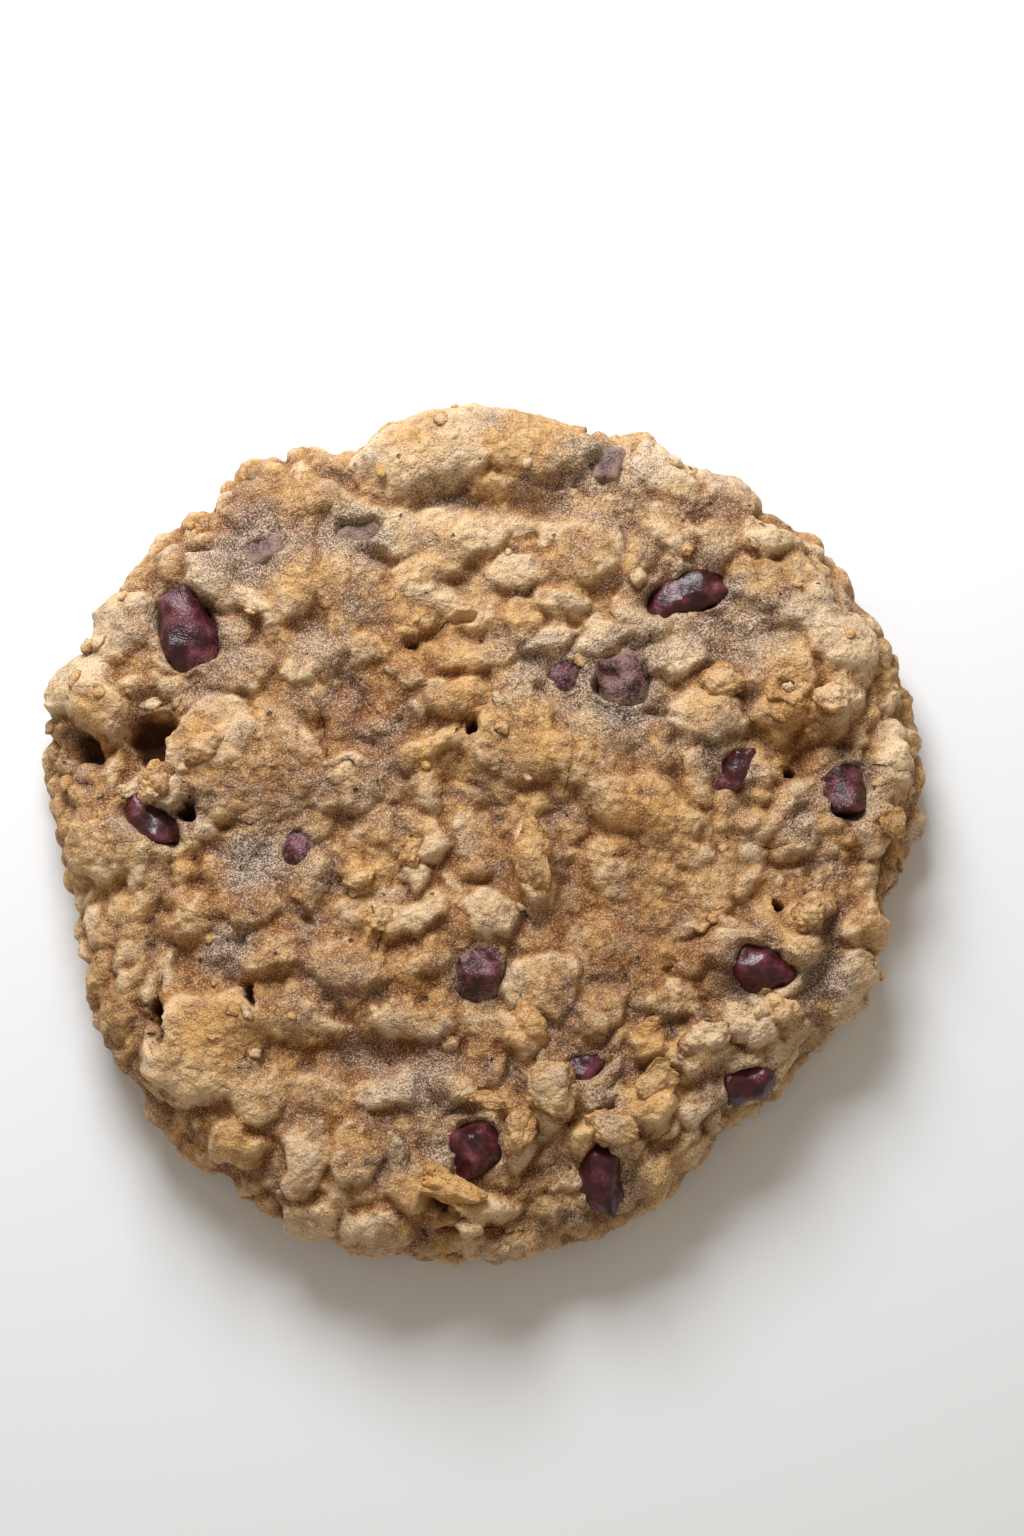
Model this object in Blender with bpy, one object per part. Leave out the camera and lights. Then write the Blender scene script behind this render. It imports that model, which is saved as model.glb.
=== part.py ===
"""Chocolate chip oatmeal cookie: one baked dough solid with its oats in relief, and the chips that show.

The dough is a round skin wrapped over a drop-cookie profile. Places on it are given in millimetres on
that skin, as x and y from the middle of the cookie: on the top they are plain x and y, and past the
shoulder they run on down the flank. Heights are millimetres along the skin's own outward direction.
"""

import math

import bmesh
import bpy
import numpy as np
from mathutils import Matrix, Vector, noise

MM = 0.001

# Driving dimensions, in millimetres.
MEAN_RADIUS = 56.5
CORE_HEIGHT = 14.6
DOME_DROP = 1.3
FLANK_WIDTH = 9.5
BELLY_HEIGHT = 5.2
FOOT_TUCK = 3.4
LOWEST_CRUMB = 0.2

# The rim, read round the cookie: angle in degrees from +X, then radius.
RIM = (
    (1, 56.3), (7, 57.6), (15, 58.4), (25, 59.6), (33, 58.1), (40, 58.9), (47, 56.2), (53, 56.1),
    (59, 56.1), (69, 57.6), (77, 56.2), (83, 56.5), (95, 57.1), (103, 58.0), (107, 55.9), (112, 56.1),
    (115, 59.4), (125, 58.1), (133, 57.2), (146, 57.7), (158, 57.7), (167, 59.6), (174, 58.1), (183, 55.3),
    (189, 54.0), (200, 54.3), (207, 55.7), (216, 56.0), (233, 56.3), (248, 55.5), (262, 55.1), (272, 55.7),
    (282, 54.0), (291, 52.9), (303, 50.7), (313, 49.6), (317, 51.0), (324, 51.1), (331, 52.5), (343, 54.5),
    (350, 53.7), (356, 54.8),
)
# The outline's middle, measured from the point that the rim's angles are read round. It is the origin.
OUTLINE_MIDDLE = (-0.21, 0.63)

# Broad rises and hollows: x, y, half length, half width, turn in degrees, height.
SWELLS = (
    (1.0, 49.5, 15.0, 5.0, -2, 1.3),
    (2.0, 42.2, 12.0, 2.0, -6, -2.2),
    (-37.0, -18.1, 6.0, 9.0, 0, -0.7),
    (-19.0, -29.9, 13.0, 3.0, -4, -2.4),
    (24.0, -11.1, 14.0, 9.0, 20, -1.1),
    (21.0, 0.5, 9.0, 4.0, -25, 1.5),
    (8.0, 6.9, 7.0, 6.0, 0, 1.2),
    (-33.0, 7.9, 9.0, 6.0, 15, 0.9),
    (-34.0, -29.1, 7.5, 7.0, 0, 1.6),
    (40.5, 9.4, 6.5, 3.6, -4, -3.2),
    (40.0, -8.1, 4.0, 4.5, 10, -2.4),
    (31.0, -23.6, 5.5, 2.8, 12, -2.2),
    (8.0, -47.1, 5.0, 3.5, 25, -1.6),
    (-49.0, 9.9, 9.0, 6.0, 0, -2.2),
    (-20.0, 44.0, 9.0, 4.0, 20, 0.8),
    (-43.5, 20.4, 5.0, 5.0, 0, 0.9),
)

# Pits that the dough leaves open: x, y, half length, half width, turn, depth.
PITS = (
    (-42.2, 10.2, 3.1, 3.9, 20, 6.0),
    (-51.8, 9.4, 3.6, 2.5, -15, 6.6),
    (-38.3, 0.6, 1.3, 1.6, 0, 5.0),
    (-41.3, -25.9, 0.8, 3.0, 6, 4.2),
    (39.3, 6.2, 1.3, 0.9, -20, 4.6),
    (38.6, -11.5, 1.0, 1.0, 0, 4.4),
    (-1.6, 11.8, 0.9, 1.0, 0, 3.2),
    (33.8, -29.1, 0.9, 1.0, 30, 3.4),
    (-29.5, -22.6, 0.6, 1.8, 30, 2.4),
    (-5.5, -49.9, 2.4, 1.0, -18, 1.3),
    (9.5, -48.9, 1.6, 1.0, 35, 1.4),
    (-9.0, 22.5, 1.3, 0.7, 15, 1.6),
    (22.5, 13.9, 2.2, 0.7, -30, 1.5),
    (-2.4, 26.1, 1.7, 0.7, 5, 1.5),
    (-22.0, -13.1, 0.8, 1.9, 25, 1.5),
)

# Oats and slabs of dough that stand out: x, y, half length, half width, turn, lift at the middle,
# then how far the slab leans, in degrees, and the side that it leans up towards.
SLABS = (
    (-6.0, 49.5, 9.0, 4.8, 10, 2.2, 6, 262),
    (7.0, 49.6, 7.5, 4.4, -8, 2.0, 6, 262),
    (4.0, 41.0, 5.0, 3.8, 14, 0.9, 7, 95),
    (12.5, 38.1, 6.5, 4.4, -35, 1.5, 8, 270),
    (-24.0, 31.6, 2.9, 4.0, -12, 2.0, 9, 180),
    (-17.5, 29.8, 4.2, 4.6, 10, 1.3, 8, 200),
    (-34.8, 10.5, 5.6, 4.4, 12, 1.7, 7, 170),
    (-25.6, 9.0, 6.6, 4.4, -62, 1.0, 6, 350),
    (-31.4, 4.4, 5.6, 4.0, 15, 1.2, 5, 200),
    (-26.6, 2.6, 4.6, 3.0, 20, 0.8, 5, 250),
    (-17.4, 4.0, 4.0, 3.6, 30, 1.3, 6, 150),
    (4.5, 10.1, 5.6, 5.4, 40, 2.0, 6, 120),
    (14.0, 8.5, 5.4, 4.4, -28, 1.7, 7, 130),
    (21.0, 0.9, 7.0, 3.6, -30, 1.2, 6, 100),
    (-3.0, 15.5, 3.6, 2.6, -10, 1.8, 9, 90),
    (-7.4, 8.5, 3.6, 1.6, 32, 1.4, 10, 120),
    (6.4, -6.5, 1.9, 4.3, 8, 2.3, 16, 200),
    (37.4, 17.9, 4.2, 3.6, -20, 2.2, 9, 80),
    (38.0, 14.1, 3.4, 3.0, 0, 2.4, 9, 300),
    (43.2, 13.3, 2.6, 2.6, 0, 2.4, 8, 290),
    (29.0, 13.3, 4.2, 3.4, -12, 1.5, 9, 270),
    (20.5, 28.2, 3.2, 4.8, 0, 0.9, 8, 270),
    (-52.5, 18.4, 4.8, 4.4, 20, 1.6, 8, 250),
    (-48.2, 13.2, 3.6, 2.3, -37, 2.9, 8, 100),
    (-46.5, 25.5, 4.6, 3.2, 30, 1.6, 8, 120),
    (-40.5, 2.9, 2.8, 2.2, 25, 2.0, 9, 100),
    (-49.0, -4.1, 5.2, 4.0, 0, 1.4, 6, 120),
    (-34.5, -28.7, 6.6, 6.4, 30, 2.2, 6, 170),
    (-30.8, -41.7, 2.8, 2.7, 0, 2.2, 7, 120),
    (-29.0, -34.6, 4.4, 3.4, 0, 1.5, 7, 250),
    (-22.0, -43.6, 2.8, 4.2, -12, 1.8, 8, 170),
    (-15.6, -42.3, 3.6, 4.2, 15, 1.6, 8, 200),
    (-20.5, -36.6, 4.2, 3.6, 30, 1.1, 7, 110),
    (-4.8, -49.1, 5.2, 2.0, -14, 2.6, 8, 280),
    (-9.4, -45.7, 1.6, 3.2, 8, 2.0, 9, 180),
    (4.8, -28.3, 1.8, 3.0, 24, 1.6, 9, 200),
    (7.6, -22.1, 4.8, 3.8, -20, 1.4, 8, 90),
    (8.6, -36.3, 3.0, 3.4, 0, 2.1, 8, 100),
    (15.2, -42.5, 3.6, 2.3, -24, 2.4, 9, 120),
    (4.4, -42.3, 1.9, 3.2, -18, 1.9, 9, 170),
    (21.4, -38.1, 3.2, 3.4, 30, 2.1, 9, 330),
    (28.2, -31.1, 3.8, 2.9, 30, 2.3, 9, 300),
    (22.0, -30.5, 2.2, 1.5, 20, 2.2, 12, 120),
    (36.6, -28.1, 2.5, 2.3, 0, 2.2, 9, 90),
    (42.2, -12.5, 2.3, 2.3, 0, 2.3, 9, 120),
    (41.2, -18.3, 2.2, 3.2, 12, 2.2, 9, 200),
    (32.6, -17.3, 3.4, 2.4, 10, 1.4, 8, 110),
    (50.4, -14.5, 3.2, 3.0, 20, 2.2, 8, 60),
    (49.8, -22.7, 3.4, 4.6, -15, 2.0, 8, 30),
    (50.6, -0.9, 2.6, 3.2, 15, 1.8, 9, 90),
    (52.0, 5.1, 3.0, 4.2, 0, 1.4, 8, 100),
    (32.6, 44.6, 4.2, 2.6, -38, 1.8, 9, 60),
    (36.4, 37.5, 3.0, 2.4, -35, 1.4, 9, 240),
    (24.0, 46.2, 4.6, 3.0, -25, 1.2, 8, 80),
    (45.0, 22.7, 3.4, 3.6, 0, 1.5, 8, 240),
    (-35.0, 32.4, 3.4, 2.4, -12, 1.4, 8, 260),
    (-14.2, -54.1, 4.4, 3.6, 10, 1.6, 8, 80),
    (-22.5, -52.6, 3.8, 3.2, 20, 1.8, 8, 80),
    (2.0, -56.1, 4.6, 3.0, -8, 1.6, 8, 80),
    (1.6, 44.2, 3.1, 1.8, 8, 1.6, 12, 265),
    (-3.1, 38.6, 6.0, 3.4, 8, 1.1, 9, 285),
    (-11.9, 38.4, 4.8, 2.8, -10, 1.2, 10, 260),
    (11.9, 34.2, 4.5, 2.6, -30, 1.4, 12, 250),
    (-7.2, 33.6, 5.0, 2.2, 18, 1.3, 13, 280),
    (4.7, 32.8, 3.6, 2.4, -10, 1.4, 12, 265),
    (-7.4, 29.6, 3.4, 1.9, -12, 1.3, 13, 275),
    (10.3, 29.4, 3.2, 2.4, 20, 1.5, 12, 260),
    (5.2, 26.6, 2.6, 2.5, 0, 1.6, 10, 255),
    (-9.8, 25.8, 3.6, 2.0, 28, 1.3, 14, 290),
    (-2.6, 27.4, 4.0, 1.9, -25, 1.2, 12, 260),
    (-0.5, 21.5, 4.4, 2.2, 10, 1.4, 12, 270),
    (-14.5, 22.8, 3.6, 2.8, 0, 1.4, 12, 290),
    (8.2, 24.0, 3.2, 1.6, 15, 1.2, 12, 265),
    (-9.8, 19.2, 2.6, 2.4, 0, 1.4, 11, 260),
    (4.2, 18.0, 3.4, 1.9, -8, 1.3, 12, 275),
    (16.0, 24.6, 3.4, 2.6, 15, 1.1, 12, 255),
    (-22.4, 21.0, 3.6, 2.6, 35, 1.3, 12, 300),
    (-27.5, 27.6, 3.2, 2.4, -20, 1.3, 12, 280),
    (-31.6, 19.6, 4.2, 3.0, 20, 1.2, 12, 285),
    (24.6, 38.6, 3.6, 2.6, -28, 1.4, 12, 240),
    (30.6, 37.0, 3.0, 2.4, -40, 1.4, 11, 240),
    (19.8, 34.6, 3.2, 2.2, -10, 1.2, 12, 260),
    (36.0, 30.6, 4.2, 3.2, -45, 1.2, 9, 230),
    (41.6, 26.4, 3.0, 2.6, -30, 1.3, 10, 230),
    (24.8, 21.4, 3.4, 2.6, 20, 1.1, 12, 270),
    (-30.4, -10.6, 4.6, 2.8, -20, 1.3, 12, 275),
    (-37.4, -11.8, 3.4, 2.6, 10, 1.4, 11, 265),
    (-27.0, -17.4, 4.4, 2.4, 12, 1.2, 12, 270),
    (-17.2, -19.4, 4.2, 2.6, -15, 1.2, 12, 265),
    (-8.6, -12.8, 3.4, 2.2, 20, 1.2, 12, 280),
    (-9.4, -26.0, 4.4, 2.2, -8, 1.3, 13, 270),
    (-24.4, -26.2, 5.4, 2.4, -4, 1.5, 13, 270),
    (0.6, -12.4, 3.6, 2.4, -20, 1.1, 11, 260),
    (15.4, -24.6, 3.8, 2.6, 15, 1.2, 11, 270),
    (24.8, -24.0, 3.6, 2.4, -18, 1.2, 11, 265),
    (-12.2, -34.6, 3.6, 2.6, 10, 1.3, 12, 275),
    (-3.8, -34.4, 2.8, 2.0, -12, 1.2, 12, 265),
    (14.4, -36.4, 2.4, 2.0, 0, 1.1, 10, 270),
)

# Splits in the crust, each a line through its points, then how far it gapes.
SPLITS = (
    (((-21.6, 15.5), (-20.2, 10.4), (-19.8, 7.3)), 0.9),
    (((-38.6, 5.4), (-37.3, 2.8), (-37.5, -3.3)), 1.2),
    (((-34.5, -1.4), (-30.0, -0.6), (-25.6, 1.2)), 0.8),
    (((-20.8, 5.6), (-17.4, 7.0), (-13.8, 5.0), (-13.2, 2.6)), 0.8),
    (((24.6, 10.5), (25.4, 5.5)), 0.8),
    (((32.0, 16.8), (34.4, 12.3)), 1.0),
    (((34.4, -2.7), (37.6, -3.7), (41.0, -2.5)), 0.8),
    (((46.0, 15.5), (46.5, 11.1)), 0.6),
    (((46.2, 7.5), (51.0, 6.5), (55.6, 5.9)), 0.6),
    (((11.0, 10.5), (11.4, 5.9), (10.4, 2.9)), 1.0),
    (((-41.0, -19.6), (-41.6, -26.1), (-40.6, -30.6)), 1.6),
    (((2.6, 16.5), (-1.2, 13.9), (-3.6, 10.7)), 0.8),
    (((-14.0, -11.1), (-12.4, -14.5), (-13.4, -17.1)), 1.1),
    (((-12.0, 25.5), (-6.0, 24.6), (-3.4, 26.5)), 0.7),
    (((20.0, -46.1), (24.4, -42.7), (26.0, -39.1)), 1.1),
    (((-6.0, -54.1), (1.0, -52.7), (6.0, -53.7)), 1.2),
    (((14.6, 31.3), (17.6, 25.6), (21.4, 24.6)), 0.6),
)

# Smooth stretches where the oats lie deep in the dough: x, y, radius, how smooth from 0 to 1.
CALM = (
    (19.0, -7.0, 12.0, 0.95), (11.0, -15.0, 6.0, 0.6), (-25.0, 8.0, 8.0, 0.75), (-13.0, -24.0, 7.0, 0.5),
    (-35.0, -28.0, 8.0, 0.85), (-5.0, 51.0, 9.0, 0.35), (8.0, 51.0, 7.0, 0.3), (7.0, 8.0, 7.0, 0.6),
    (22.0, 1.5, 8.0, 0.6), (-24.0, -12.0, 6.0, 0.5), (-2.0, -1.0, 6.0, 0.4), (30.0, 27.0, 6.0, 0.5),
    (-40.0, 29.0, 6.0, 0.5), (37.0, -30.5, 5.0, 0.5), (0.0, 26.0, 7.0, 0.4),
)

# Lumps of crumb that stand free on the crust: x, y, half length, half width, half height, turn.
LUMPS = (
    (22.3, -35.4, 2.9, 2.4, 0.9, 30),
    (21.7, -27.8, 2.0, 1.2, 0.9, 20),
    (28.6, -30.0, 3.2, 2.2, 1.7, 28),
    (8.7, -34.8, 2.9, 3.3, 1.6, 0),
    (16.4, -40.6, 3.4, 2.0, 1.5, -22),
    (-4.4, -47.2, 3.9, 1.7, 1.5, -20),
    (-3.2, -50.4, 1.0, 1.0, 0.8, 10),
    (-10.6, -43.4, 1.2, 2.8, 0.9, 8),
    (2.8, -55.0, 0.9, 0.9, 0.8, 0),
    (52.3, -0.6, 2.0, 1.9, 0.9, 0),
    (38.4, 16.2, 2.4, 2.3, 0.6, 0),
    (38.4, 16.4, 0.7, 0.6, 0.6, 0),
    (30.4, 17.2, 2.7, 2.4, 1.3, 0),
    (43.7, 14.3, 2.0, 1.9, 1.6, 0),
    (5.9, -27.5, 1.7, 3.3, 0.7, 26),
    (0.6, -36.2, 2.4, 1.1, 0.6, -14),
    (4.6, -40.6, 1.9, 3.0, 1.5, -12),
    (-1.8, -52.0, 1.5, 1.4, 1.2, 0),
    (39.6, -26.3, 2.4, 2.2, 1.8, 10),
    (34.2, -27.6, 2.4, 2.6, 1.2, 35),
    (-43.8, 5.0, 2.7, 1.3, 0.9, 35),
    (-41.9, 3.4, 1.9, 1.9, 1.4, 0),
    (-40.7, 4.6, 2.3, 1.9, 1.3, 70),
    (-45.6, 3.8, 1.1, 0.8, 0.7, 0),
    (-35.2, 8.6, 2.5, 2.3, 1.3, 40),
    (-42.5, 15.4, 1.6, 1.0, 0.8, 20),
    (43.5, -8.4, 1.9, 1.3, 0.9, 40),
    (42.0, -13.0, 1.9, 1.8, 1.5, 0),
    (-15.6, -8.2, 1.9, 1.3, 0.8, 30),
    (-12.8, -13.2, 1.6, 1.4, 0.9, 60),
    (-9.0, -4.8, 2.2, 1.3, 0.9, 80),
    (6.3, -5.8, 2.3, 4.7, 1.8, 6),
)

# The chips that show: form, x, y, radius, length, lean in degrees from upright, the side that the tip
# leans to, bend, how far the middle stands above the skin, and half the dough's mouth along and across.
CHIPS = {
    "chip_01": ("drop", -38.6, 25.0, 5.2, 12.4, 62, 97, 0.5, -1.5, 5.3, 4.0),
    "chip_02": ("bean", -43.0, -0.4, 2.7, 8.4, 82, 322, 0.4, -1.0, 3.4, 1.9),
    "chip_03": ("bean", -24.0, -4.0, 2.8, 6.4, 60, 250, 0.2, -2.0, 1.6, 1.2),
    "chip_04": ("bean", 26.6, 29.7, 3.2, 11.4, 80, 22, -2.2, -1.4, 4.8, 2.1),
    "chip_05": ("drop", 10.4, 19.0, 3.1, 6.0, 30, 30, 0.1, -1.9, 1.8, 1.4),
    "chip_06": ("block", 18.0, 18.2, 4.1, 8.8, 62, 98, 0.3, -1.8, 3.6, 2.8),
    "chip_07": ("bean", 32.4, 6.2, 2.5, 7.0, 66, 62, 0.3, -1.6, 2.1, 1.2),
    "chip_08": ("drop", 46.6, 3.5, 4.1, 8.0, 46, 262, 0.3, -1.4, 3.0, 2.7),
    "chip_09": ("drop", 37.2, -20.0, 4.0, 8.6, 74, 338, 0.6, -1.0, 3.2, 2.5),
    "chip_10": ("block", -0.6, -20.1, 3.4, 6.4, 42, 60, 0.2, -1.4, 2.7, 2.5),
    "chip_11": ("drop", 13.2, -32.2, 2.8, 6.6, 76, 22, 0.2, -1.8, 2.2, 0.9),
    "chip_12": ("block", 37.0, -37.4, 3.1, 7.4, 82, 4, 0.2, -1.0, 3.4, 2.2),
    "chip_13": ("block", -0.8, -42.6, 3.9, 7.2, 50, 215, 0.6, -1.5, 3.1, 2.8),
    "chip_14": ("bean", 15.6, -47.3, 2.9, 8.8, 80, 268, 0.5, -0.9, 3.7, 2.1),
    "chip_15": ("block", 16.4, 47.8, 3.5, 8.0, 66, 250, 0.2, -2.5, 2.2, 1.5),
    "chip_16": ("bean", -16.3, 38.0, 3.0, 7.0, 74, 25, 0.2, -2.4, 1.9, 1.0),
    "chip_17": ("bean", -28.8, 35.8, 3.0, 8.2, 78, 15, 0.2, -2.5, 2.3, 0.9),
}

# The outline of each form of chip, as shares of the radius and of the length, from its base to its tip.
FORMS = {
    "drop": (
        (0.42, -0.45), (0.84, -0.38), (0.98, -0.24), (0.92, -0.06), (0.74, 0.12), (0.50, 0.30), (0.22, 0.46),
    ),
    "bean": (
        (0.36, -0.49), (0.76, -0.42), (0.96, -0.24), (1.00, 0.00), (0.94, 0.24), (0.72, 0.41), (0.34, 0.49),
    ),
    "block": (
        (0.58, -0.48), (0.92, -0.40), (1.00, -0.22), (0.98, 0.02), (0.95, 0.24), (0.84, 0.40), (0.50, 0.48),
    ),
}

# Oats that fill the rest, and the crumb over them, laid out on triangular grids: how far apart the rows
# are and how far a place strays, as shares of the spacing.
ROW_PITCH = 0.87
STRAY = 0.36
OAT_SPACING = 4.2
OAT_SEED = 11
GAP_DEPTH = 0.95
GRAIN_SPACING = 1.9
GRAIN_SEED = 23

# An oat: half its length, its width as a share of that, how far it lifts (middle, then spread), its lean
# in degrees, the side that it leans up towards (middle, then spread), and how high its back is domed.
OAT_LENGTH = (1.8, 3.6)
OAT_BREADTH = (0.6, 0.95)
OAT_LIFT = (-0.35, 0.4)
OAT_LEAN = (2, 18)
OAT_TOWARDS = (270, 60)
OAT_DOME = (0.45, 1.2)
OAT_EDGE_SLOPE = 0.8
OAT_SOFTNESS = (0.2, 0.5)
# In a calm stretch oats lie this much higher and softer, and keep this share of their dome.
CALM_LIFT = 0.3
CALM_SOFTNESS = 0.5
CALM_DOME = 0.3

# A lump of crumb: its radius, its height, and how much of the crumb and of the puffs a calm stretch takes.
GRAIN_RADIUS = (0.9, 1.9)
GRAIN_RISE = (0.08, 0.52)
CALM_CRUMB = 0.75
CALM_PUFFS = 0.5

# Slow waves of the whole crust, and the puffs that meet in creases: size along the skin, then height.
WAVES = ((16.0, 1.2), (7.5, 0.75), (4.3, 0.25), (2.1, 0.12))
PUFFS = ((5.4, 0.55), (2.7, 0.48), (1.3, 0.22))
# How far the places wander, which makes every edge ragged: size of the waves, then distance.
RAGGED = ((4.2, 0.8), (1.8, 0.45), (0.9, 0.14))

# How uneven the outlines are of the oats and slabs, the dough's mouths round the chips, and the pits.
SLAB_WOBBLE = 0.12
MOUTH_WOBBLE = 0.13
PIT_WOBBLE = 0.16
SLAB_EDGES = (0.4, 0.8, 1.3)

# How far a lump stands up from the crust, as a share of its half height.
LUMP_STAND = 1.16

# How far a pit's lip stands above the skin.
PIT_LIP = 0.6

# A split's width, how far its lips sag for each millimetre of gape, and how soon it closes at its ends.
SPLIT_WIDTH = 0.60
SPLIT_SAG = 0.55
SPLIT_CLOSING = 1.6

# The dough's mouth round a chip: its depth at the chip and the slope of its sides.
MOUTH_DEPTH = 1.2
MOUTH_SLOPE = 3.2
SEAT_GAP = 0.55

# The stretch above the foot over which the relief fades out.
FOOT_FADE = 4.5

# How far a chip's few corners are pushed out of true, as a share, and the size of what pushes them.
# Then the size and the depth of the scallops where it broke.
CHIP_JOLT = 0.42
CHIP_JOLT_SIZE = 0.8
CHIP_FACET = 2.7
CHIP_SCALLOP = 0.48

# Fineness of the solids.
DOUGH_CELLS = 190
DOUGH_TRIANGLES = 7600
CHIP_SIDES = 6
CHIP_TRIANGLES = 190
SEAT_TRIANGLES = 90

DOUGH_COLOUR = (0.45, 0.28, 0.13, 1.0)
DOUGH_ROUGHNESS = 0.85
CHIP_COLOUR = (0.09, 0.02, 0.028, 1.0)
CHIP_ROUGHNESS = 0.4


# --- The skin: a round sheet wrapped over the cookie ------------------------------------------------

def side_profile():
    """Points of half the cookie's section, from the middle of the top to the foot, as (radius, height)."""
    shoulder = MEAN_RADIUS - FLANK_WIDTH
    shoulder_height = CORE_HEIGHT - DOME_DROP
    across = np.linspace(0, 1, 60)
    dome = np.column_stack([shoulder * across, CORE_HEIGHT - DOME_DROP * across**2.5])
    turn = np.linspace(0, math.pi / 2, 40)[1:]
    upper = np.column_stack([
        shoulder + FLANK_WIDTH * np.sin(turn),
        BELLY_HEIGHT + (shoulder_height - BELLY_HEIGHT) * np.cos(turn),
    ])
    lower = np.column_stack([
        MEAN_RADIUS - FOOT_TUCK * (1 - np.cos(turn)),
        BELLY_HEIGHT * (1 - np.sin(turn)),
    ])
    return np.vstack([dome, upper, lower])


PROFILE = side_profile()
PROFILE_RUN = np.concatenate([[0], np.cumsum(np.hypot(*np.diff(PROFILE, axis=0).T))])
SKIN_RADIUS = float(PROFILE_RUN[-1])


def rim_radius(angle):
    """The rim's radius at an angle in radians."""
    degrees, radii = np.array(RIM).T
    return np.interp(np.degrees(angle), degrees, radii, period=360)


def wrap(u, v):
    """Places on the skin, as points in space and outward directions, both in millimetres."""
    run = np.hypot(u, v)
    angle = np.arctan2(v, u)
    stretch = 1 + (rim_radius(angle) / MEAN_RADIUS - 1) * np.clip(run / MEAN_RADIUS, 0, 1) ** 3
    radius = np.interp(run, PROFILE_RUN, PROFILE[:, 0]) * stretch
    height = np.interp(run, PROFILE_RUN, PROFILE[:, 1])
    step = 0.5
    ahead, behind = run + step, np.clip(run - step, 0, None)
    slope_r = np.interp(ahead, PROFILE_RUN, PROFILE[:, 0]) - np.interp(behind, PROFILE_RUN, PROFILE[:, 0])
    slope_z = np.interp(ahead, PROFILE_RUN, PROFILE[:, 1]) - np.interp(behind, PROFILE_RUN, PROFILE[:, 1])
    length = np.hypot(slope_r, slope_z) + 1e-9
    out, up = -slope_z / length, slope_r / length
    x = radius * np.cos(angle) - OUTLINE_MIDDLE[0]
    y = radius * np.sin(angle) - OUTLINE_MIDDLE[1]
    points = np.stack([x, y, height], axis=-1)
    normals = np.stack([out * np.cos(angle), out * np.sin(angle), up], axis=-1)
    return points, normals


# --- Relief: what stands up from the skin, and what is sunk in it -----------------------------------

def ripple(u, v, size, seed):
    """Smooth noise from about -1 to 1, with waves about that size."""
    return np.array([noise.noise((a / size, b / size, seed * 7.31)) for a, b in zip(u, v)])


def turned(u, v, x, y, degrees):
    """Distances along and across an axis through x, y."""
    c, s = math.cos(math.radians(degrees)), math.sin(math.radians(degrees))
    return (u - x) * c + (v - y) * s, (v - y) * c - (u - x) * s


def uneven(angle, seed, wobble):
    """A round outline's factor at each angle, with a few bulges and dents."""
    return 1 + wobble * (np.sin(2 * angle + seed) + 0.6 * np.sin(3 * angle + 1.7 * seed)
                         + 0.5 * np.sin(5 * angle + 2.3 * seed))


def outlined(u, v, x, y, half_length, half_width, turn, seed, wobble):
    """How far out each place is in an uneven oval: 0 at its middle, 1 on its outline."""
    along, across = turned(u, v, x, y, turn)
    outline = uneven(np.arctan2(across / half_width, along / half_length), seed, wobble)
    return np.hypot(along / half_length, across / half_width) / outline


def soft_max(a, b, softness):
    """The higher of two surfaces, with the crease between them rounded."""
    blend = np.clip(softness - np.abs(a - b), 0, None) / softness
    return np.maximum(a, b) + 0.25 * softness * blend**2


def lay_slab(height, u, v, slab, dome=0.6, edge_slope=1.5, softness=0.8, seed=0):
    """Lays one leaning slab with an uneven outline on the relief, in place."""
    x, y, half_length, half_width, turn, lift, lean, towards = slab
    near = np.abs(u - x) + np.abs(v - y) < 3.2 * max(half_length, half_width)
    share = outlined(u[near], v[near], x, y, half_length, half_width, turn, seed, SLAB_WOBBLE)
    side = math.radians(towards)
    reach = (u[near] - x) * math.cos(side) + (v[near] - y) * math.sin(side)
    top = lift + dome * (1 - share**2) + reach * math.tan(math.radians(lean))
    top -= edge_slope * np.clip(share - 1, 0, None) * min(half_length, half_width)
    height[near] = soft_max(height[near], top, softness)


def scattered(spacing, seed):
    """Places all over the skin on a jittered triangular grid, each with its own random source."""
    draw = np.random.default_rng(seed)
    rows = int(SKIN_RADIUS / (spacing * ROW_PITCH)) + 1
    columns = int(SKIN_RADIUS / spacing) + 1
    for row in range(-rows, rows + 1):
        for column in range(-columns, columns + 1):
            jitter = draw.uniform(-STRAY, STRAY, 2) * spacing
            x = (column + 0.5 * (row % 2)) * spacing + jitter[0]
            y = row * spacing * ROW_PITCH + jitter[1]
            if math.hypot(x, y) < SKIN_RADIUS - 0.8 * spacing:
                yield x, y, draw


def spots(u, v, places):
    """How strongly each place is touched by the nearest of some soft round spots."""
    touched = np.zeros_like(u)
    for x, y, radius, strength in places:
        touched = np.maximum(touched, strength * np.exp(-(((u - x) ** 2 + (v - y) ** 2) / radius**2)))
    return touched


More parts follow.
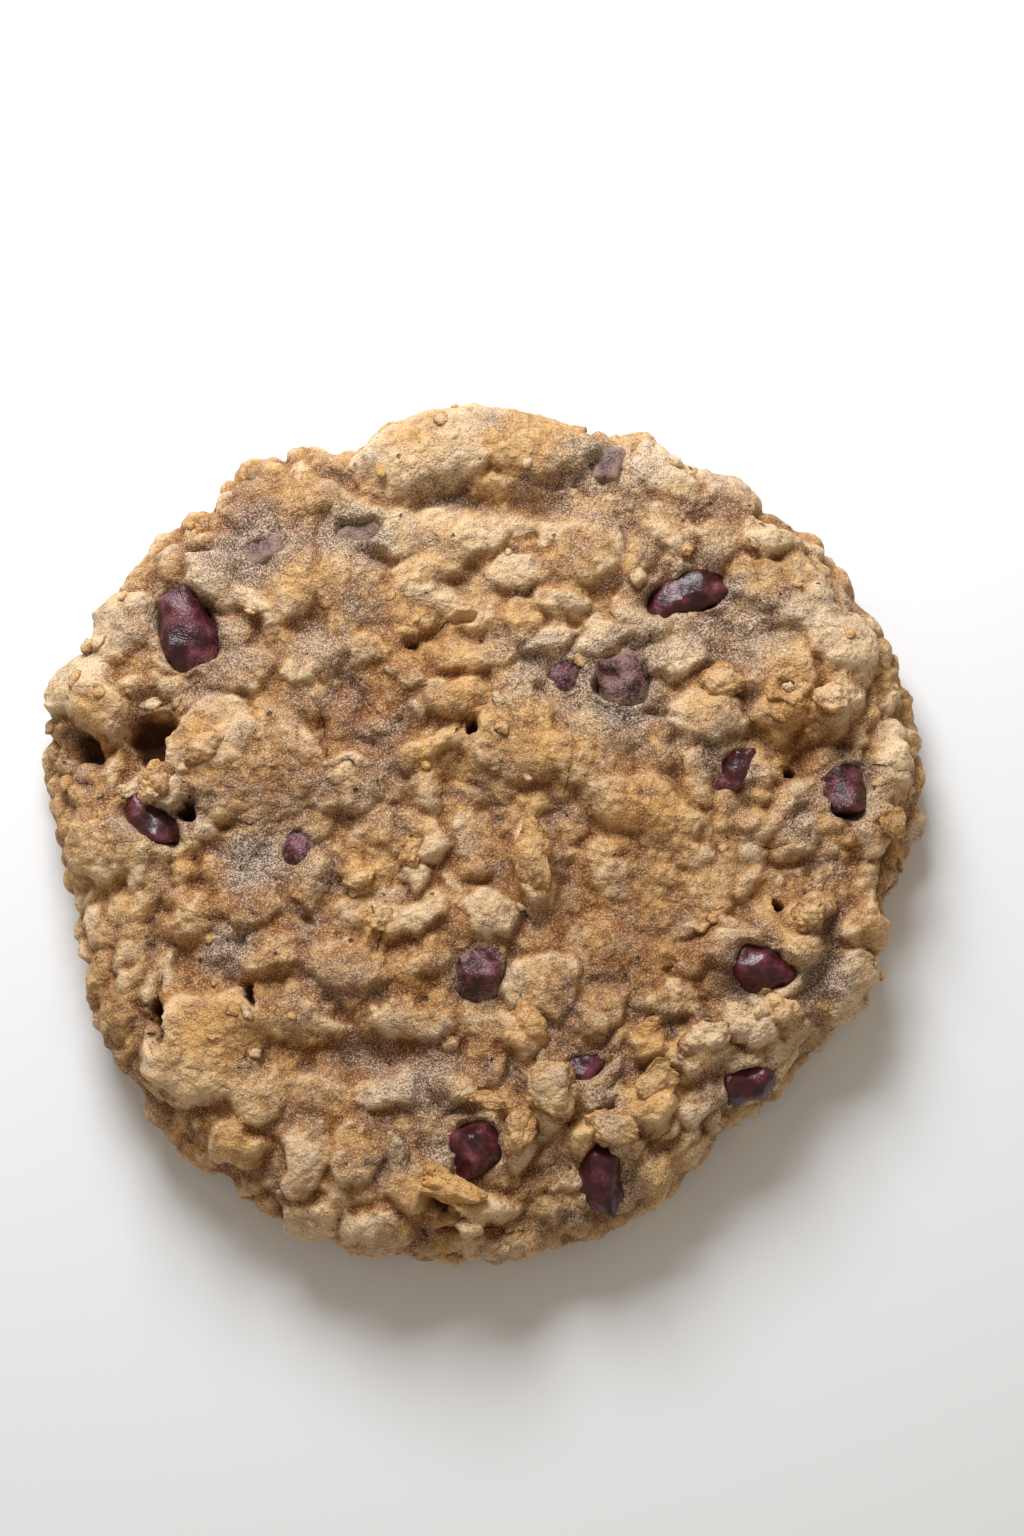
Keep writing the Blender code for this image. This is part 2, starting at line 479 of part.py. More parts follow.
def lay_oats(height, u, v):
    """Rolled oats under a film of dough, each a small leaning mound, low where the crust is calm."""
    for x, y, draw in scattered(OAT_SPACING, OAT_SEED):
        stir = 1 - float(spots(np.float64(x), np.float64(y), CALM))
        calm = 1 - stir
        half_length = draw.uniform(*OAT_LENGTH)
        half_width = half_length * draw.uniform(*OAT_BREADTH)
        turn, towards = draw.uniform(0, 180), draw.normal(*OAT_TOWARDS)
        lift, lean = draw.normal(*OAT_LIFT) + CALM_LIFT * calm, draw.uniform(*OAT_LEAN) * stir
        dome = draw.uniform(*OAT_DOME) * (CALM_DOME * calm + stir)
        softness = draw.uniform(*OAT_SOFTNESS) + CALM_SOFTNESS * calm
        oat = (x, y, half_length, half_width, turn, lift, lean, towards)
        lay_slab(height, u, v, oat, dome, OAT_EDGE_SLOPE, softness, seed=draw.uniform(0, 6))


def lay_grains(height, u, v):
    """Small lumps of crumb that meet in creases, plainer on the smooth middle than near the rim."""
    crumb = np.zeros_like(height)
    for x, y, draw in scattered(GRAIN_SPACING, GRAIN_SEED):
        radius, rise = draw.uniform(*GRAIN_RADIUS), draw.uniform(*GRAIN_RISE)
        near = (np.abs(u - x) < radius) & (np.abs(v - y) < radius)
        share = ((u[near] - x) ** 2 + (v[near] - y) ** 2) / radius**2
        crumb[near] = np.maximum(crumb[near], rise * (1 - share))
    outer = np.clip(np.hypot(u, v) / MEAN_RADIUS, 0, 1) ** 2
    share = np.clip(0.45 + 0.38 * outer + 0.5 * ripple(u, v, 11.0, 6), 0.15, 1.2)
    height += crumb * share * (1 - CALM_CRUMB * spots(u, v, CALM))


def puff(height, u, v):
    """Soft swellings that meet in creases, as where a crust sets while it still rises."""
    outer = np.clip(np.hypot(u, v) / MEAN_RADIUS, 0, 1.1) ** 2
    share = np.clip(0.75 + 0.4 * outer + 0.45 * ripple(u, v, 13.0, 8), 0.45, 1.5)
    share *= 1 - CALM_PUFFS * spots(u, v, CALM)
    for seed, (size, rise) in enumerate(PUFFS, 9):
        height += rise * share * (np.abs(ripple(u, v, size, seed)) - 0.25)


def split_crust(height, u, v):
    """Lets the crust's lips sag along each split."""
    beside, gapes = np.full_like(u, np.inf), np.zeros_like(u)
    for line, gape in SPLITS:
        whole = sum(math.dist(a, b) for a, b in zip(line, line[1:]))
        done = 0.0
        for (x0, y0), (x1, y1) in zip(line, line[1:]):
            length = math.dist((x0, y0), (x1, y1))
            along, across = turned(u, v, x0, y0, math.degrees(math.atan2(y1 - y0, x1 - x0)))
            run = np.clip(along, 0, length)
            away = np.hypot(along - run, across)
            closing = np.clip(np.minimum(done + run, whole - done - run) / SPLIT_CLOSING, 0, 1)
            gapes = np.where(away < beside, gape * closing, gapes)
            beside = np.minimum(away, beside)
            done += length
    height -= SPLIT_SAG * gapes * np.exp(-((beside / SPLIT_WIDTH) ** 2))


def seat_chips(height, u, v):
    """Dough drawn down to each chip in an uneven mouth with steep sides."""
    for seed, (_, x, y, _, _, _, towards, _, _, half_length, half_width) in enumerate(CHIPS.values()):
        share = outlined(u, v, x, y, half_length, half_width, towards, seed, MOUTH_WOBBLE)
        floor = -MOUTH_DEPTH + MOUTH_SLOPE * np.clip((share - 1) * half_width, -0.7, None)
        np.minimum(height, floor, out=height)


def open_pits(height, u, v):
    """Holes that the dough leaves open."""
    for seed, (x, y, half_length, half_width, turn, depth) in enumerate(PITS):
        share = outlined(u, v, x, y, half_length, half_width, turn, seed, PIT_WOBBLE)
        np.minimum(height, -depth + (depth + PIT_LIP) * share**3, out=height)


def stand_lumps(height, u, v):
    """Lumps of crumb, each half sunk where it lies."""
    for seed, (x, y, half_length, half_width, half_height, turn) in enumerate(LUMPS):
        share = outlined(u, v, x, y, half_length, half_width, turn, seed, SLAB_WOBBLE)
        height += LUMP_STAND * half_height * np.sqrt(np.clip(1 - share**2, 0, 1))


def wandered(flat_u, flat_v):
    """The places, each a little off, so that no outline in the relief is smooth."""
    u, v = flat_u.copy(), flat_v.copy()
    for seed, (size, reach) in enumerate(RAGGED, 30):
        u += reach * ripple(flat_u, flat_v, size, seed)
        v += reach * ripple(flat_u, flat_v, size, seed + 40)
    return u, v


def relief(flat_u, flat_v):
    """Height above the skin, in millimetres, at each place."""
    u, v = wandered(flat_u, flat_v)
    height = np.full_like(u, -GAP_DEPTH)
    lay_oats(height, u, v)
    for number, slab in enumerate(SLABS):
        lay_slab(height, u, v, slab, softness=SLAB_EDGES[number % 3], seed=number)
    lay_grains(height, u, v)
    puff(height, u, v)
    split_crust(height, u, v)
    for seed, (size, rise) in enumerate(WAVES, 1):
        height += rise * ripple(u, v, size, seed)
    for x, y, half_length, half_width, turn, rise in SWELLS:
        along, across = turned(u, v, x, y, turn)
        height += rise * np.exp(-((along / half_length) ** 2 + (across / half_width) ** 2))
    seat_chips(height, u, v)
    open_pits(height, u, v)
    stand_lumps(height, flat_u, flat_v)
    # The relief fades out towards the foot, which is pressed flat on the tray.
    foot = np.clip((SKIN_RADIUS - np.hypot(flat_u, flat_v)) / FOOT_FADE, 0, 1)
    return height * foot * (2 - foot)


# --- Building ---------------------------------------------------------------------------------------

def clear_scene():
    for obj in list(bpy.data.objects):
        bpy.data.objects.remove(obj)


def finish(name, colour, roughness):
    """A plain Principled material."""
    material = bpy.data.materials.new(name)
    material.use_nodes = True
    shader = material.node_tree.nodes["Principled BSDF"]
    shader.inputs["Base Color"].default_value = colour
    shader.inputs["Roughness"].default_value = roughness
    shader.inputs["Metallic"].default_value = 0.0
    material.diffuse_color = colour
    return material


def add_object(name, mesh_builder, material):
    """Turns a bmesh into a named object with one material, shaded smooth."""
    mesh = bpy.data.meshes.new(name)
    mesh_builder.to_mesh(mesh)
    mesh_builder.free()
    mesh.materials.append(material)
    mesh.shade_smooth()
    obj = bpy.data.objects.new(name, mesh)
    bpy.context.scene.collection.objects.link(obj)
    return obj


def round_grid(cells):
    """A square grid of faces pressed into a disc as wide as the skin."""
    disc = bmesh.new()
    bmesh.ops.create_grid(disc, x_segments=cells, y_segments=cells, size=1.0)
    for vert in disc.verts:
        a, b = vert.co.x, vert.co.y
        reach = max(abs(a), abs(b))
        if reach > 0:
            angle = math.pi / 4 * (b / a if abs(a) >= abs(b) else 2 - a / b)
            sign = a if abs(a) >= abs(b) else b
            vert.co.x = sign * math.cos(angle) * SKIN_RADIUS
            vert.co.y = sign * math.sin(angle) * SKIN_RADIUS
    return disc


def make_dough_shell(cells):
    """The top and flank of the cookie in full relief, open at the foot."""
    shell = round_grid(cells)
    flat = np.array([vert.co[:2] for vert in shell.verts])
    points, normals = wrap(flat[:, 0], flat[:, 1])
    points += normals * relief(flat[:, 0], flat[:, 1])[:, None]
    points[:, 2] = np.maximum(points[:, 2], LOWEST_CRUMB)
    for vert, point in zip(shell.verts, points):
        vert.co = Vector(point) * MM
    return shell


def close_foot(shell):
    """Flattens the open edge on the tray and fills it with one flat face."""
    border = [edge for edge in shell.edges if edge.is_boundary]
    for vert in {vert for edge in border for vert in edge.verts}:
        vert.co.z = 0.0
    bmesh.ops.contextual_create(shell, geom=border)
    bmesh.ops.recalc_face_normals(shell, faces=shell.faces)


def chip_matrix(x, y, lean, towards, stand):
    """Places a chip on the skin: its own +Z is the tip, and leans that far to that side."""
    points, normals = wrap(np.array([x]), np.array([y]))
    centre = Vector(points[0] + normals[0] * stand) * MM
    upright = Vector((0, 0, 1)).rotation_difference(Vector(normals[0])).to_matrix().to_4x4()
    side = Matrix.Rotation(math.radians(towards), 4, "Z")
    return Matrix.Translation(centre) @ upright @ side @ Matrix.Rotation(math.radians(lean), 4, "Y")


def chip_cage(form, radius, length, own):
    """The few points of a chip that has slumped: rings up its outline, pushed out of true."""
    cage = bmesh.new()
    rings = []
    for share, up in FORMS[form]:
        around = bmesh.ops.create_circle(cage, segments=CHIP_SIDES, radius=share * radius * MM)["verts"]
        bmesh.ops.translate(cage, verts=around, vec=(0, 0, up * length * MM))
        rings.append(around)
    for low, high in zip(rings, rings[1:]):
        for i in range(CHIP_SIDES):
            j = (i + 1) % CHIP_SIDES
            cage.faces.new((low[i], low[j], high[j], high[i]))
    cage.faces.new(rings[0])
    cage.faces.new(rings[-1])
    bmesh.ops.recalc_face_normals(cage, faces=cage.faces)
    for vert in cage.verts:
        vert.co *= 1 + CHIP_JOLT * noise.noise(vert.co / (CHIP_JOLT_SIZE * MM) + own)
    return cage


def baked(obj):
    """Replaces an object's mesh by what its modifiers make of it."""
    graph = bpy.context.evaluated_depsgraph_get()
    made = bpy.data.meshes.new_from_object(obj.evaluated_get(graph))
    obj.modifiers.clear()
    obj.data = made


def reduce_to(obj, triangles):
    """Keeps the form with that many triangles, the most where it bends the most."""
    modifier = obj.modifiers.new("reduce", "DECIMATE")
    modifier.ratio = triangles / (2 * len(obj.data.polygons))
    baked(obj)


def make_chip(name, chip, material, triangles, gap=0.0):
    """Rounds a chip's cage into a solid and sets it in place, grown all round by the gap."""
    form, x, y, radius, length, lean, towards, bend, stand, _, _ = chip
    own = Vector((x, y, 0))
    made = add_object(name, chip_cage(form, radius, length, own), material)
    for kind in ("SIMPLE", "CATMULL_CLARK"):
        rounding = made.modifiers.new("rounding", "SUBSURF")
        rounding.subdivision_type = kind
        rounding.levels = 1
        rounding.render_levels = 1
    baked(made)
    for vert in made.data.vertices:
        spot = vert.co / MM
        scallop = CHIP_SCALLOP * (noise.voronoi(spot / CHIP_FACET + own)[0][0] - 0.5)
        vert.co += vert.normal * scallop * MM
        vert.co.y += bend * ((2 * spot.z / length) ** 2 - 0.4) * MM
    reduce_to(made, triangles)
    if gap:
        growth = made.modifiers.new("growth", "DISPLACE")
        growth.mid_level = 0.0
        growth.strength = gap * MM
        baked(made)
    made.matrix_world = chip_matrix(x, y, lean, towards, stand)
    return made


def main():
    clear_scene()
    dough_finish = finish("dough", DOUGH_COLOUR, DOUGH_ROUGHNESS)
    chip_finish = finish("chocolate", CHIP_COLOUR, CHIP_ROUGHNESS)
    dough = add_object("dough", make_dough_shell(DOUGH_CELLS), dough_finish)
    reduce_to(dough, DOUGH_TRIANGLES)
    shell = bmesh.new()
    shell.from_mesh(dough.data)
    close_foot(shell)
    shell.to_mesh(dough.data)
    shell.free()
    cutters = bpy.data.collections.new("chip_seats")
    bpy.context.scene.collection.children.link(cutters)
    for name, chip in CHIPS.items():
        make_chip(name, chip, chip_finish, CHIP_TRIANGLES)
        seat = make_chip(name + "_seat", chip, dough_finish, SEAT_TRIANGLES, SEAT_GAP)
        seat.hide_render = True
        seat.display_type = "WIRE"
        bpy.context.scene.collection.objects.unlink(seat)
        cutters.objects.link(seat)
    cut = dough.modifiers.new("chip_seats", "BOOLEAN")
    cut.operation = "DIFFERENCE"
    cut.operand_type = "COLLECTION"
    cut.collection = cutters


main()
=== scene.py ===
# %% [markdown]
# # A chocolate chip oatmeal cookie
# A drop cookie is a spoonful of stiff oat dough that slumps in the oven and sets with a rough, dry crust.
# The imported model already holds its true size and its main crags. This lesson dresses it: a fine crust
# with oats, crumb, cracks and pits in real geometry, chips of chocolate in their seats, and the finishes.

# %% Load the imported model
import math

import bpy
import numpy as np
from mathutils import Matrix, Vector, kdtree, noise


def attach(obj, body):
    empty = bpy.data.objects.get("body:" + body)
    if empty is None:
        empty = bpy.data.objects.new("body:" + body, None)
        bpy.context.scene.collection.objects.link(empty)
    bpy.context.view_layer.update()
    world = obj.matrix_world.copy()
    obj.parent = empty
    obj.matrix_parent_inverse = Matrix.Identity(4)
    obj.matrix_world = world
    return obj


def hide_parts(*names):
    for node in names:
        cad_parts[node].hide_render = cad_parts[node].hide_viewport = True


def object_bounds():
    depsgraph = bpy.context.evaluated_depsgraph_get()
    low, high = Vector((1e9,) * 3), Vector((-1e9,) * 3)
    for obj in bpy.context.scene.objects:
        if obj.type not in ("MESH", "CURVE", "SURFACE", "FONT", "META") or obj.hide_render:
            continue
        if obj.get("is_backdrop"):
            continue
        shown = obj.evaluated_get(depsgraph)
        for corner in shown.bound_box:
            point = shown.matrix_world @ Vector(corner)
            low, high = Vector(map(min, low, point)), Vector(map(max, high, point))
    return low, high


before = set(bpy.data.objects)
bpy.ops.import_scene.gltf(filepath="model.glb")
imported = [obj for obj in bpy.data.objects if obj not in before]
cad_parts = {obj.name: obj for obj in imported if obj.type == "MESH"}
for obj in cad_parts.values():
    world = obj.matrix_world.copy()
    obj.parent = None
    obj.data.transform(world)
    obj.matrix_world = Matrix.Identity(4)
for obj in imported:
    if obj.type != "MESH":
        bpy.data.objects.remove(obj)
cad_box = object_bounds()
MM = 0.001
print("cookie box in mm:", [[round(c / MM, 1) for c in corner] for corner in cad_box])

# %% [markdown]
# ## Camera
# The cookie is seen from nearly straight above, tipped about 12 degrees, so that its near flank shows
# under the crust. The camera aims a little past the middle, which leaves the cookie low in the frame.

# %% Place the camera
CAMERA_AIM = Vector((3.86, 6.76, 10.0)) * MM
CAMERA_DISTANCE = 350 * MM
CAMERA_ELEVATION = math.radians(78)
CAMERA_LENS = 63

towards_camera = Vector((0, -math.cos(CAMERA_ELEVATION), math.sin(CAMERA_ELEVATION)))
bpy.ops.object.camera_add(
    location=CAMERA_AIM + CAMERA_DISTANCE * towards_camera,
    rotation=(math.pi / 2 - CAMERA_ELEVATION, 0, 0),
)
camera = bpy.context.object
camera.data.lens = CAMERA_LENS
camera.data.clip_start = 0.01
bpy.context.scene.camera = camera
print("camera at", [round(c, 3) for c in camera.location])

# %% [markdown]
# ## Floor and light
# The floor is a plain pale sheet. One broad soft light stands behind the cookie and a little to the left,
# so that every ledge throws a soft shadow towards the viewer, and a pale sky fills the shadows.

# %% Lay the floor and hang the lights
FLOOR_SIZE = 6.0
FLOOR_COLOUR = (0.86, 0.86, 0.86)
FLOOR_ROUGHNESS = 0.9
LIGHT_AT = Vector((-0.07, 0.27, 0.26))
LIGHT_SIZE = 0.19
LIGHT_POWER = 1.90
LIGHT_COLOUR = (0.93, 0.97, 1.03)
SKY_STRENGTH = 0.37
SKY_COLOUR = (1.0, 0.91, 0.78, 1)


def deselect():
    """Operators act on all that is selected, so each step starts from nothing."""
    for obj in bpy.context.selected_objects:
        obj.select_set(False)


def only(obj):
    """Selects one object alone and makes it active."""
    deselect()
    obj.select_set(True)
    bpy.context.view_layer.objects.active = obj
    return obj


def plain(name, colour, roughness):
    """A material of one colour, for the floor."""
    material = bpy.data.materials.new(name)
    material.use_nodes = True
    shader = material.node_tree.nodes["Principled BSDF"]
    shader.inputs["Base Color"].default_value = (*colour, 1)
    shader.inputs["Roughness"].default_value = roughness
    return material


deselect()
bpy.ops.mesh.primitive_plane_add(size=FLOOR_SIZE)
floor = bpy.context.object
floor.name = "floor"
floor.data.materials.append(plain("pale_floor", FLOOR_COLOUR, FLOOR_ROUGHNESS))
floor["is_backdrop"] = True

deselect()
bpy.ops.object.light_add(
    type="AREA", location=LIGHT_AT, rotation=(-LIGHT_AT).to_track_quat("-Z", "Y").to_euler()
)
window = bpy.context.object
window.data.size = LIGHT_SIZE
window.data.energy = LIGHT_POWER
window.data.color = LIGHT_COLOUR

sky = bpy.data.worlds.new("pale_sky")
sky.use_nodes = True
sky.node_tree.nodes["Background"].inputs["Color"].default_value = SKY_COLOUR
sky.node_tree.nodes["Background"].inputs["Strength"].default_value = SKY_STRENGTH
bpy.context.scene.world = sky
bpy.context.scene.view_settings.view_transform = "Standard"
print("one window of", LIGHT_SIZE, "m and a pale sky")

# %% [markdown]
# ## The skin of the cookie
# The crust is made as a baker would lay a cloth over it: a flat round sheet is wrapped over the cookie's
# side profile, and stretched a little to meet the uneven rim. A place on the sheet is given in
# millimetres from the middle. On the top that is plain x and y, and past the shoulder it runs on down
# the flank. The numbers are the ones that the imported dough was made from.

# %% Wrap a flat sheet over the profile
MEAN_RADIUS = 56.5
CORE_HEIGHT = 14.6
DOME_DROP = 1.3
FLANK_WIDTH = 9.5
BELLY_HEIGHT = 5.2
FOOT_TUCK = 3.4
LOWEST_CRUMB = 0.2
DOME_POWER = 2.5
DOME_STEPS, TURN_STEPS = 60, 40
RIM_POWER = 3
SLOPE_STEP = 0.5
# The rim's radius at angles in degrees.
RIM = (
    (1, 56.3), (7, 57.6), (15, 58.4), (25, 59.6), (33, 58.1), (40, 58.9), (47, 56.2), (53, 56.1),
    (59, 56.1), (69, 57.6), (77, 56.2), (83, 56.5), (95, 57.1), (103, 58), (107, 55.9), (112, 56.1),
    (115, 59.4), (125, 58.1), (133, 57.2), (146, 57.7), (158, 57.7), (167, 59.6), (174, 58.1),
    (183, 55.3), (189, 54), (200, 54.3), (207, 55.7), (216, 56), (233, 56.3), (248, 55.5), (262, 55.1),
    (272, 55.7), (282, 54), (291, 52.9), (303, 50.7), (313, 49.6), (317, 51), (324, 51.1), (331, 52.5),
    (343, 54.5), (350, 53.7), (356, 54.8),
)
OUTLINE_MIDDLE = (-0.21, 0.63)


def side_profile():
    """Half the cookie's section, from the middle of the top to the foot, as (radius, height)."""
    shoulder = MEAN_RADIUS - FLANK_WIDTH
    shoulder_height = CORE_HEIGHT - DOME_DROP
    across = np.linspace(0, 1, DOME_STEPS)
    dome = np.column_stack([shoulder * across, CORE_HEIGHT - DOME_DROP * across**DOME_POWER])
    turn = np.linspace(0, math.pi / 2, TURN_STEPS)[1:]
    upper = np.column_stack([
        shoulder + FLANK_WIDTH * np.sin(turn),
        BELLY_HEIGHT + (shoulder_height - BELLY_HEIGHT) * np.cos(turn),
    ])
    lower = np.column_stack([
        MEAN_RADIUS - FOOT_TUCK * (1 - np.cos(turn)),
        BELLY_HEIGHT * (1 - np.sin(turn)),
    ])
    return np.vstack([dome, upper, lower])


PROFILE = side_profile()
PROFILE_RUN = np.concatenate([[0], np.cumsum(np.hypot(*np.diff(PROFILE, axis=0).T))])
SKIN_RADIUS = float(PROFILE_RUN[-1])


def wrap(u, v):
    """Places on the sheet as points in space and outward directions, both in millimetres."""
    run, angle = np.hypot(u, v), np.arctan2(v, u)
    degrees, radii = np.array(RIM).T
    rim = np.interp(np.degrees(angle), degrees, radii, period=360)
    stretch = 1 + (rim / MEAN_RADIUS - 1) * np.clip(run / MEAN_RADIUS, 0, 1) ** RIM_POWER
    radius, height = (np.interp(run, PROFILE_RUN, column) for column in PROFILE.T)
    ahead, behind = run + SLOPE_STEP, np.clip(run - SLOPE_STEP, 0, None)
    slope_r, slope_z = (
        np.interp(ahead, PROFILE_RUN, column) - np.interp(behind, PROFILE_RUN, column)
        for column in PROFILE.T
    )
    length = np.hypot(slope_r, slope_z) + 1e-9
    out, up = -slope_z / length, slope_r / length
    x = radius * stretch * np.cos(angle) - OUTLINE_MIDDLE[0]
    y = radius * stretch * np.sin(angle) - OUTLINE_MIDDLE[1]
    points = np.stack([x, y, height], axis=-1)
    outward = np.stack([out * np.cos(angle), out * np.sin(angle), up], axis=-1)
    return points, outward


print("the sheet is", round(2 * SKIN_RADIUS, 1), "mm across before it is wrapped")

# %% [markdown]
# ## Swells, pits, slabs, chips and splits: where they lie
# These are the crags that anyone would name when looking at this cookie. Each row says where a feature lies
# on the sheet, how big it is and how far it stands up or sinks. All lengths are in millimetres and all turns
# in degrees.

# %% List the swells and the pits
# x, y, half length, half width, turn, height
SWELLS = (
    (1, 49.5, 15, 5, -2, 1.3), (2, 42.2, 12, 2, -6, -2.2), (-37, -18.1, 6, 9, 0, -0.7),
    (-19, -29.9, 13, 3, -4, -2.4), (24, -11.1, 14, 9, 20, -1.1), (21, 0.5, 9, 4, -25, 1.5),
    (8, 6.9, 7, 6, 0, 1.2), (-33, 7.9, 9, 6, 15, 0.9), (-34, -29.1, 7.5, 7, 0, 1.6),
    (40.5, 9.4, 6.5, 3.6, -4, -3.2), (40, -8.1, 4, 4.5, 10, -2.4), (31, -23.6, 5.5, 2.8, 12, -2.2),
    (8, -47.1, 5, 3.5, 25, -1.6), (-49, 9.9, 9, 6, 0, -2.2), (-20, 44, 9, 4, 20, 0.8),
    (-43.5, 20.4, 5, 5, 0, 0.9),
)
# x, y, half length, half width, turn, depth
PITS = (
    (-42.2, 10.2, 3.1, 3.9, 20, 6), (-51.8, 9.4, 3.6, 2.5, -15, 6.6), (-38.3, 0.6, 1.3, 1.6, 0, 5),
    (-41.3, -25.9, 0.8, 3, 6, 4.2), (39.3, 6.2, 1.3, 0.9, -20, 4.6), (38.6, -11.5, 1, 1, 0, 4.4),
    (-1.6, 11.8, 0.9, 1, 0, 3.2), (33.8, -29.1, 0.9, 1, 30, 3.4), (-29.5, -22.6, 0.6, 1.8, 30, 2.4),
    (-5.5, -49.9, 2.4, 1, -18, 1.3), (9.5, -48.9, 1.6, 1, 35, 1.4), (-9, 22.5, 1.3, 0.7, 15, 1.6),
    (22.5, 13.9, 2.2, 0.7, -30, 1.5), (-2.4, 26.1, 1.7, 0.7, 5, 1.5), (-22, -13.1, 0.8, 1.9, 25, 1.5),
)
print(len(SWELLS), "swells and", len(PITS), "pits placed by hand")

